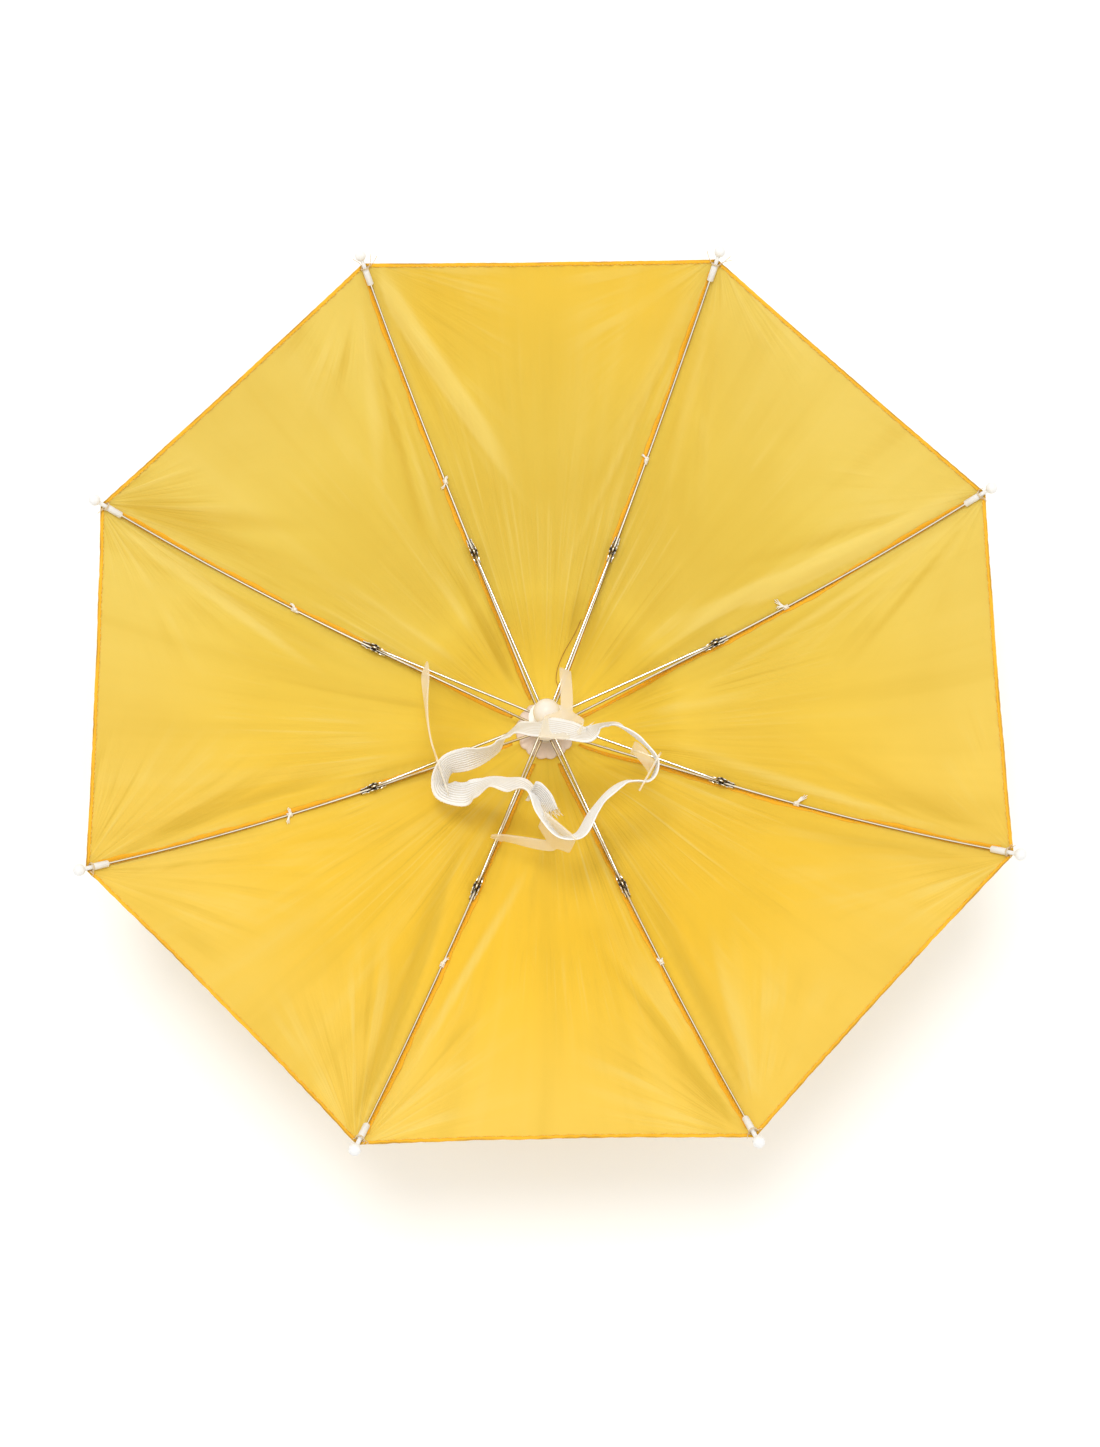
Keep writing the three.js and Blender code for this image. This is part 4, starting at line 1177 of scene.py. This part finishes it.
class HAT_OT_band(bpy.types.Operator):
    """Makes the ribbed elastic head band with its lapped, frayed end"""

    bl_idname = "hat.band"
    bl_label = "Head band"

    def execute(self, context):
        sizes = context.scene.hat_band
        tint = sizes.colour
        elastic = elastic_finish("ribbed elastic", tint, (0.72, 0.65, 0.55), sizes.width)
        width = sizes.width / MM
        steps = 420
        frames = [band_frame(k / steps) for k in range(steps)] + [band_frame(0)]
        length = sum((b[0] - a[0]).length for a, b in zip(frames, frames[1:]))

        def place(across, along):
            k = round(along * steps)
            point, _, wide, thick = frames[k]
            side = 2 * across - 1
            way = along * length
            scallop = 0.16 * math.sin(way * 2.9) * smooth(abs(side), 0.9, 1)
            ruffle = 0.55 * math.sin(along * 2 * math.pi * 13) * side**3
            rib = 0.1 * math.sin((side + 1) * width / 2 * math.pi)
            return point + wide * (side * (width / 2 + scallop - 0.2)) + thick * (ruffle + rib)

        def uv(across, along):
            return (across * sizes.width, along * length * MM)

        bm = bmesh.new()
        grid_sheet(bm, 52, steps, place, uv)
        loop = build("band_loop", bm, elastic, ["head_band"], closed=False)
        thicken(loop, sizes.thickness / MM, 0)

        start = band_frame(BAND_END_START / len(BAND_STATIONS))
        knots = [start[0]] + [
            Vector((x * LOOP_REACH, y * LOOP_REACH, z * LOOP_RISE)) + start[0]
            for x, y, z, _ in BAND_END]
        way = catmull(knots, False)
        leans = [19] + [row[3] for row in BAND_END]
        pieces = 36

        def end_frame(share):
            share = min(max(share, 0.001), 0.999)
            travel = (way(min(share + 0.01, 1)) - way(max(share - 0.01, 0))).normalized()
            spot = share * 3
            lean = leans[int(spot)] + (leans[int(spot) + 1] - leans[int(spot)]) * (spot % 1)
            return lean_frame(way(share), travel, lean)

        def end_place(across, along):
            point, _, wide, thick = end_frame(along)
            side = 2 * across - 1
            taper = 1 - 0.38 * along
            ragged = 0.5 * math.sin(across * 40) * smooth(along, 0.8, 1)
            travel = end_frame(along)[1]
            lift = 1.0 + 0.5 * along
            return point + wide * side * taper * width / 2 - thick * lift + travel * ragged

        bm = bmesh.new()
        grid_sheet(bm, 40, pieces, end_place, lambda a, b: (a * 0.02, b * 0.014))
        end = build("band_end", bm, elastic, closed=False)
        thicken(end, sizes.thickness / MM, 0)
        end_length = sum((way((k + 1) / 20) - way(k / 20)).length for k in range(20))

        bm = bmesh.new()
        pick = random.Random(21)
        point, travel, wide, thick = end_frame(1)
        for k in range(26):
            side = pick.uniform(-1, 1)
            root = point + wide * side * width * 0.29 - thick * 1.5 - travel * 0.8
            away = (travel + wide * pick.uniform(-0.5, 0.5) - Z * pick.uniform(0, 0.8)).normalized()
            reach = pick.uniform(2.5, 9)
            curl = pick.uniform(-1.6, 1.6)
            path = [
                root + away * reach * s + thick * curl * math.sin(3 * s) + wide * curl * s * s
                for s in (n / 7 for n in range(8))
            ]
            tube(bm, path, pick.uniform(0.11, 0.2), 5)
        white = thread_finish("elastic threads", (0.95, 0.93, 0.90), (0.85, 0.81, 0.77))
        frayed = build("frayed_threads", bm, white)
        return {"FINISHED"}


class HAT_OT_hangers(bpy.types.Operator):
    """Makes the four bowed plastic hangers that carry the band"""

    bl_idname = "hat.hangers"
    bl_label = "Hangers"

    def execute(self, context):
        sizes = context.scene.hat_frame
        milky = plastic_finish("hanger plastic", (0.98, 0.93, 0.82), (0.97, 0.95, 0.90), 0.6, 0.3)
        cutter = self.room()
        for k, row in enumerate(HANGERS):
            piece = self.hanger(k + 1, milky, *row)
            self.cut(piece, cutter)
        bpy.data.objects.remove(cutter)
        return {"FINISHED"}

    @staticmethod
    def room():
        """Space that the band needs where it passes through a hanger's face."""
        bm = bmesh.new()
        steps = 150
        frames = [band_frame(k / steps) for k in range(steps)] + [band_frame(0)]

        def place(across, along):
            point, _, wide, thick = frames[round(along * steps)]
            turn = 2 * math.pi * across
            square = max(abs(math.cos(turn)), abs(math.sin(turn)))
            return point + wide * (math.cos(turn) / square * 10.5) + thick * (
                math.sin(turn) / square * 1.25)

        grid_sheet(bm, 8, steps, place)
        bmesh.ops.remove_doubles(bm, verts=bm.verts, dist=1e-5)
        bmesh.ops.recalc_face_normals(bm, faces=bm.faces)
        mesh = bpy.data.meshes.new("band room")
        bm.to_mesh(mesh)
        bm.free()
        cutter = bpy.data.objects.new("band room", mesh)
        bpy.context.collection.objects.link(cutter)
        return cutter

    @staticmethod
    def cut(piece, cutter):
        """Cuts the band's room from a hanger and keeps the cut mesh."""
        slot = piece.modifiers.new("slots", "BOOLEAN")
        slot.object, slot.operation, slot.solver = cutter, "DIFFERENCE", "EXACT"
        bpy.context.view_layer.update()
        seen = piece.evaluated_get(bpy.context.evaluated_depsgraph_get())
        whole = bpy.data.meshes.new_from_object(seen)
        piece.modifiers.clear()
        bm = bmesh.new()
        bm.from_mesh(whole)
        bmesh.ops.remove_doubles(bm, verts=bm.verts, dist=1e-6)
        islands, left = [], set(bm.verts)
        while left:
            todo, island = [left.pop()], []
            while todo:
                vert = todo.pop()
                island.append(vert)
                for edge in vert.link_edges:
                    other = edge.other_vert(vert)
                    if other in left:
                        left.remove(other)
                        todo.append(other)
            islands.append(island)
        islands.sort(key=len)
        for island in islands[:-2]:
            bmesh.ops.delete(bm, geom=island, context="VERTS")
        bm.to_mesh(piece.data)
        bm.free()
        bpy.data.meshes.remove(whole)
        piece.data.shade_smooth()
        piece.data.set_sharp_from_angle(angle=math.radians(40))

    @staticmethod
    def hanger(number, finish, rib, eye, station, inset, rise, turn, lean, entry, *bows):
        """An eye round its stretcher, a bowed strip and the face the band threads."""
        held = band_frame(station / len(BAND_STATIONS))
        point, travel, wide, _ = lean_frame(held[0], held[1], lean)
        inside = travel.cross(wide).normalized()
        if inside.dot(Vector((-travel.y, travel.x, 0))) > 0:
            inside = -inside
        middle = point + inside * inset + wide * rise
        travel = Matrix.Rotation(math.radians(turn), 3, wide) @ travel
        side = math.radians(entry)
        to_strip = -wide * math.cos(side) + travel * math.sin(side)
        bar = to_strip.cross(inside).normalized()
        through = bar.cross(to_strip)

        clip, along, _, lift = rib_frame(rib, CLIP_RADIUS)
        inner = meridian(plan_turn(rib), 5.5, RUNNER_MIDDLE)
        outer = clip + lift * RIVET_HEIGHT
        way = (outer - inner).normalized()
        eye_at = inner.lerp(outer, (eye * CLIP_RADIUS - 5.2) / (CLIP_RADIUS - 5.2))
        up = (Z - way * way.z).normalized()
        start = eye_at + up * 2.1
        neck = middle + to_strip * (11.8 + 11)
        far = (start - neck).length
        knots = [start, start + up * far * bows[0], neck + to_strip * far * bows[1], neck]
        eye_wide = way.cross(up)
        if eye_wide.dot(bar) < 0:
            eye_wide = -eye_wide
        strip_rows, face_rows = 44, 20
        rows = strip_rows + face_rows

        def spot(share):
            rest = 1 - share
            point = (knots[0] * rest**3 + knots[1] * 3 * rest**2 * share
                     + knots[2] * 3 * rest * share**2 + knots[3] * share**3)
            forward = ((knots[1] - knots[0]) * rest**2 + (knots[2] - knots[1]) * 2 * rest * share
                       + (knots[3] - knots[2]) * share**2).normalized()
            across = eye_wide.lerp(bar, smooth(share, 0, 1))
            across = (across - forward * across.dot(forward)).normalized()
            return point, across

        def place(across, along):
            row = round(along * rows)
            side = 2 * across - 1
            if row <= strip_rows:
                point, width = spot(row / strip_rows)
                return point + width * side * 4
            run = (row - strip_rows) / face_rows * (11 + 23.6)
            half = 4 + 9 * smooth(run, 0, 11)
            return neck - to_strip * run + bar * side * half

        bm = bmesh.new()
        grid_sheet(bm, 10, rows, place)
        bmesh.ops.recalc_face_normals(bm, faces=bm.faces)
        bmesh.ops.solidify(bm, geom=bm.faces[:] + bm.edges[:] + bm.verts[:], thickness=-1.2 * MM)
        ring = [(1.5, -0.6), (3.9, -0.6), (4.2, -0.3), (4.2, 0.3), (3.9, 0.6), (1.5, 0.6),
                (1.5, -0.6)]
        turned(bm, ring, basis(eye_at, up, way.cross(up), way), 28)
        piece = build(
            f"hanger_strip_{number}", bm, finish, [f"hanger_{number}"], crisp=40)
        edge = piece.modifiers.new("edge", "BEVEL")
        edge.width, edge.segments, edge.limit_method = 0.22 * MM, 2, "ANGLE"
        return piece


class HAT_OT_stage(bpy.types.Operator):
    """Makes the floor, the soft lights and the camera"""

    bl_idname = "hat.stage"
    bl_label = "Stage"

    def execute(self, context):
        sizes = context.scene.hat_stage
        scene = context.scene
        scene.view_settings.view_transform = "Standard"
        eye = bpy.data.cameras.new("camera")
        eye.sensor_width, eye.lens = 36, sizes.lens
        eye.clip_start, eye.clip_end = 0.01, 50
        camera = bpy.data.objects.new("camera", eye)
        camera.location = at(-11.8, -276.8, 1212.5)
        camera.rotation_euler = Euler([math.radians(a) for a in (13.151, -0.662, -0.155)])
        scene.collection.objects.link(camera)
        scene.camera = camera

        world = bpy.data.worlds.new("soft light")
        world.use_nodes = True
        sky = world.node_tree.nodes["Background"]
        sky.inputs["Color"].default_value = (1.0, 1.0, 1.0, 1)
        sky.inputs["Strength"].default_value = 1.0
        scene.world = world
        lights = [
            ("key", (-0.2, 0.5, 2.4), 0.9, sizes.key_power),
            ("fill", (0.9, -0.9, 1.9), 1.0, sizes.key_power * 0.12),
        ]
        for name, spot, size, power in lights:
            lamp = bpy.data.lights.new(name, "AREA")
            lamp.shape, lamp.size, lamp.energy = "DISK", size, power
            light = bpy.data.objects.new(name, lamp)
            light.location = spot
            light.rotation_euler = (-Vector(spot)).to_track_quat("-Z", "Y").to_euler()
            scene.collection.objects.link(light)

        bm = bmesh.new()
        bmesh.ops.create_grid(bm, x_segments=1, y_segments=1, size=6)
        mesh = bpy.data.meshes.new("floor")
        bm.to_mesh(mesh)
        bm.free()
        mesh.materials.append(floor_finish("pale floor", sizes.floor_colour))
        floor = bpy.data.objects.new("floor", mesh)
        scene.collection.objects.link(floor)
        return {"FINISHED"}


class HAT_PT_panel(bpy.types.Panel):
    bl_label = "Umbrella hat"
    bl_idname = "HAT_PT_panel"
    bl_space_type = "VIEW_3D"
    bl_region_type = "UI"
    bl_category = "Umbrella hat"

    def draw(self, context):
        layout = self.layout
        for group in ("hat_canopy", "hat_frame", "hat_band", "hat_stage"):
            box = layout.box()
            settings = getattr(context.scene, group)
            for key in settings.bl_rna.properties.keys():
                if key not in ("name", "rna_type"):
                    box.prop(settings, key)
        for step in STEPS:
            layout.operator(step.bl_idname)


STEPS = [
    HAT_OT_stage, HAT_OT_loose_thread, HAT_OT_canopy, HAT_OT_seams, HAT_OT_wires, HAT_OT_clips,
    HAT_OT_tips, HAT_OT_crown, HAT_OT_threads, HAT_OT_band, HAT_OT_hangers,
]
GROUPS = {
    "hat_canopy": HatCanopySettings, "hat_frame": HatFrameSettings,
    "hat_band": HatBandSettings, "hat_stage": HatStageSettings,
}


def register():
    for group in GROUPS.values():
        bpy.utils.register_class(group)
    for name, group in GROUPS.items():
        setattr(bpy.types.Scene, name, PointerProperty(type=group))
    for step in STEPS:
        bpy.utils.register_class(step)
    bpy.utils.register_class(HAT_PT_panel)


def unregister():
    bpy.utils.unregister_class(HAT_PT_panel)
    for step in reversed(STEPS):
        bpy.utils.unregister_class(step)
    for name, group in GROUPS.items():
        delattr(bpy.types.Scene, name)
        bpy.utils.unregister_class(group)


def main():
    register()
    for step in STEPS:
        family, action = step.bl_idname.split(".")
        getattr(getattr(bpy.ops, family), action)()


if __name__ == "__main__":
    main()
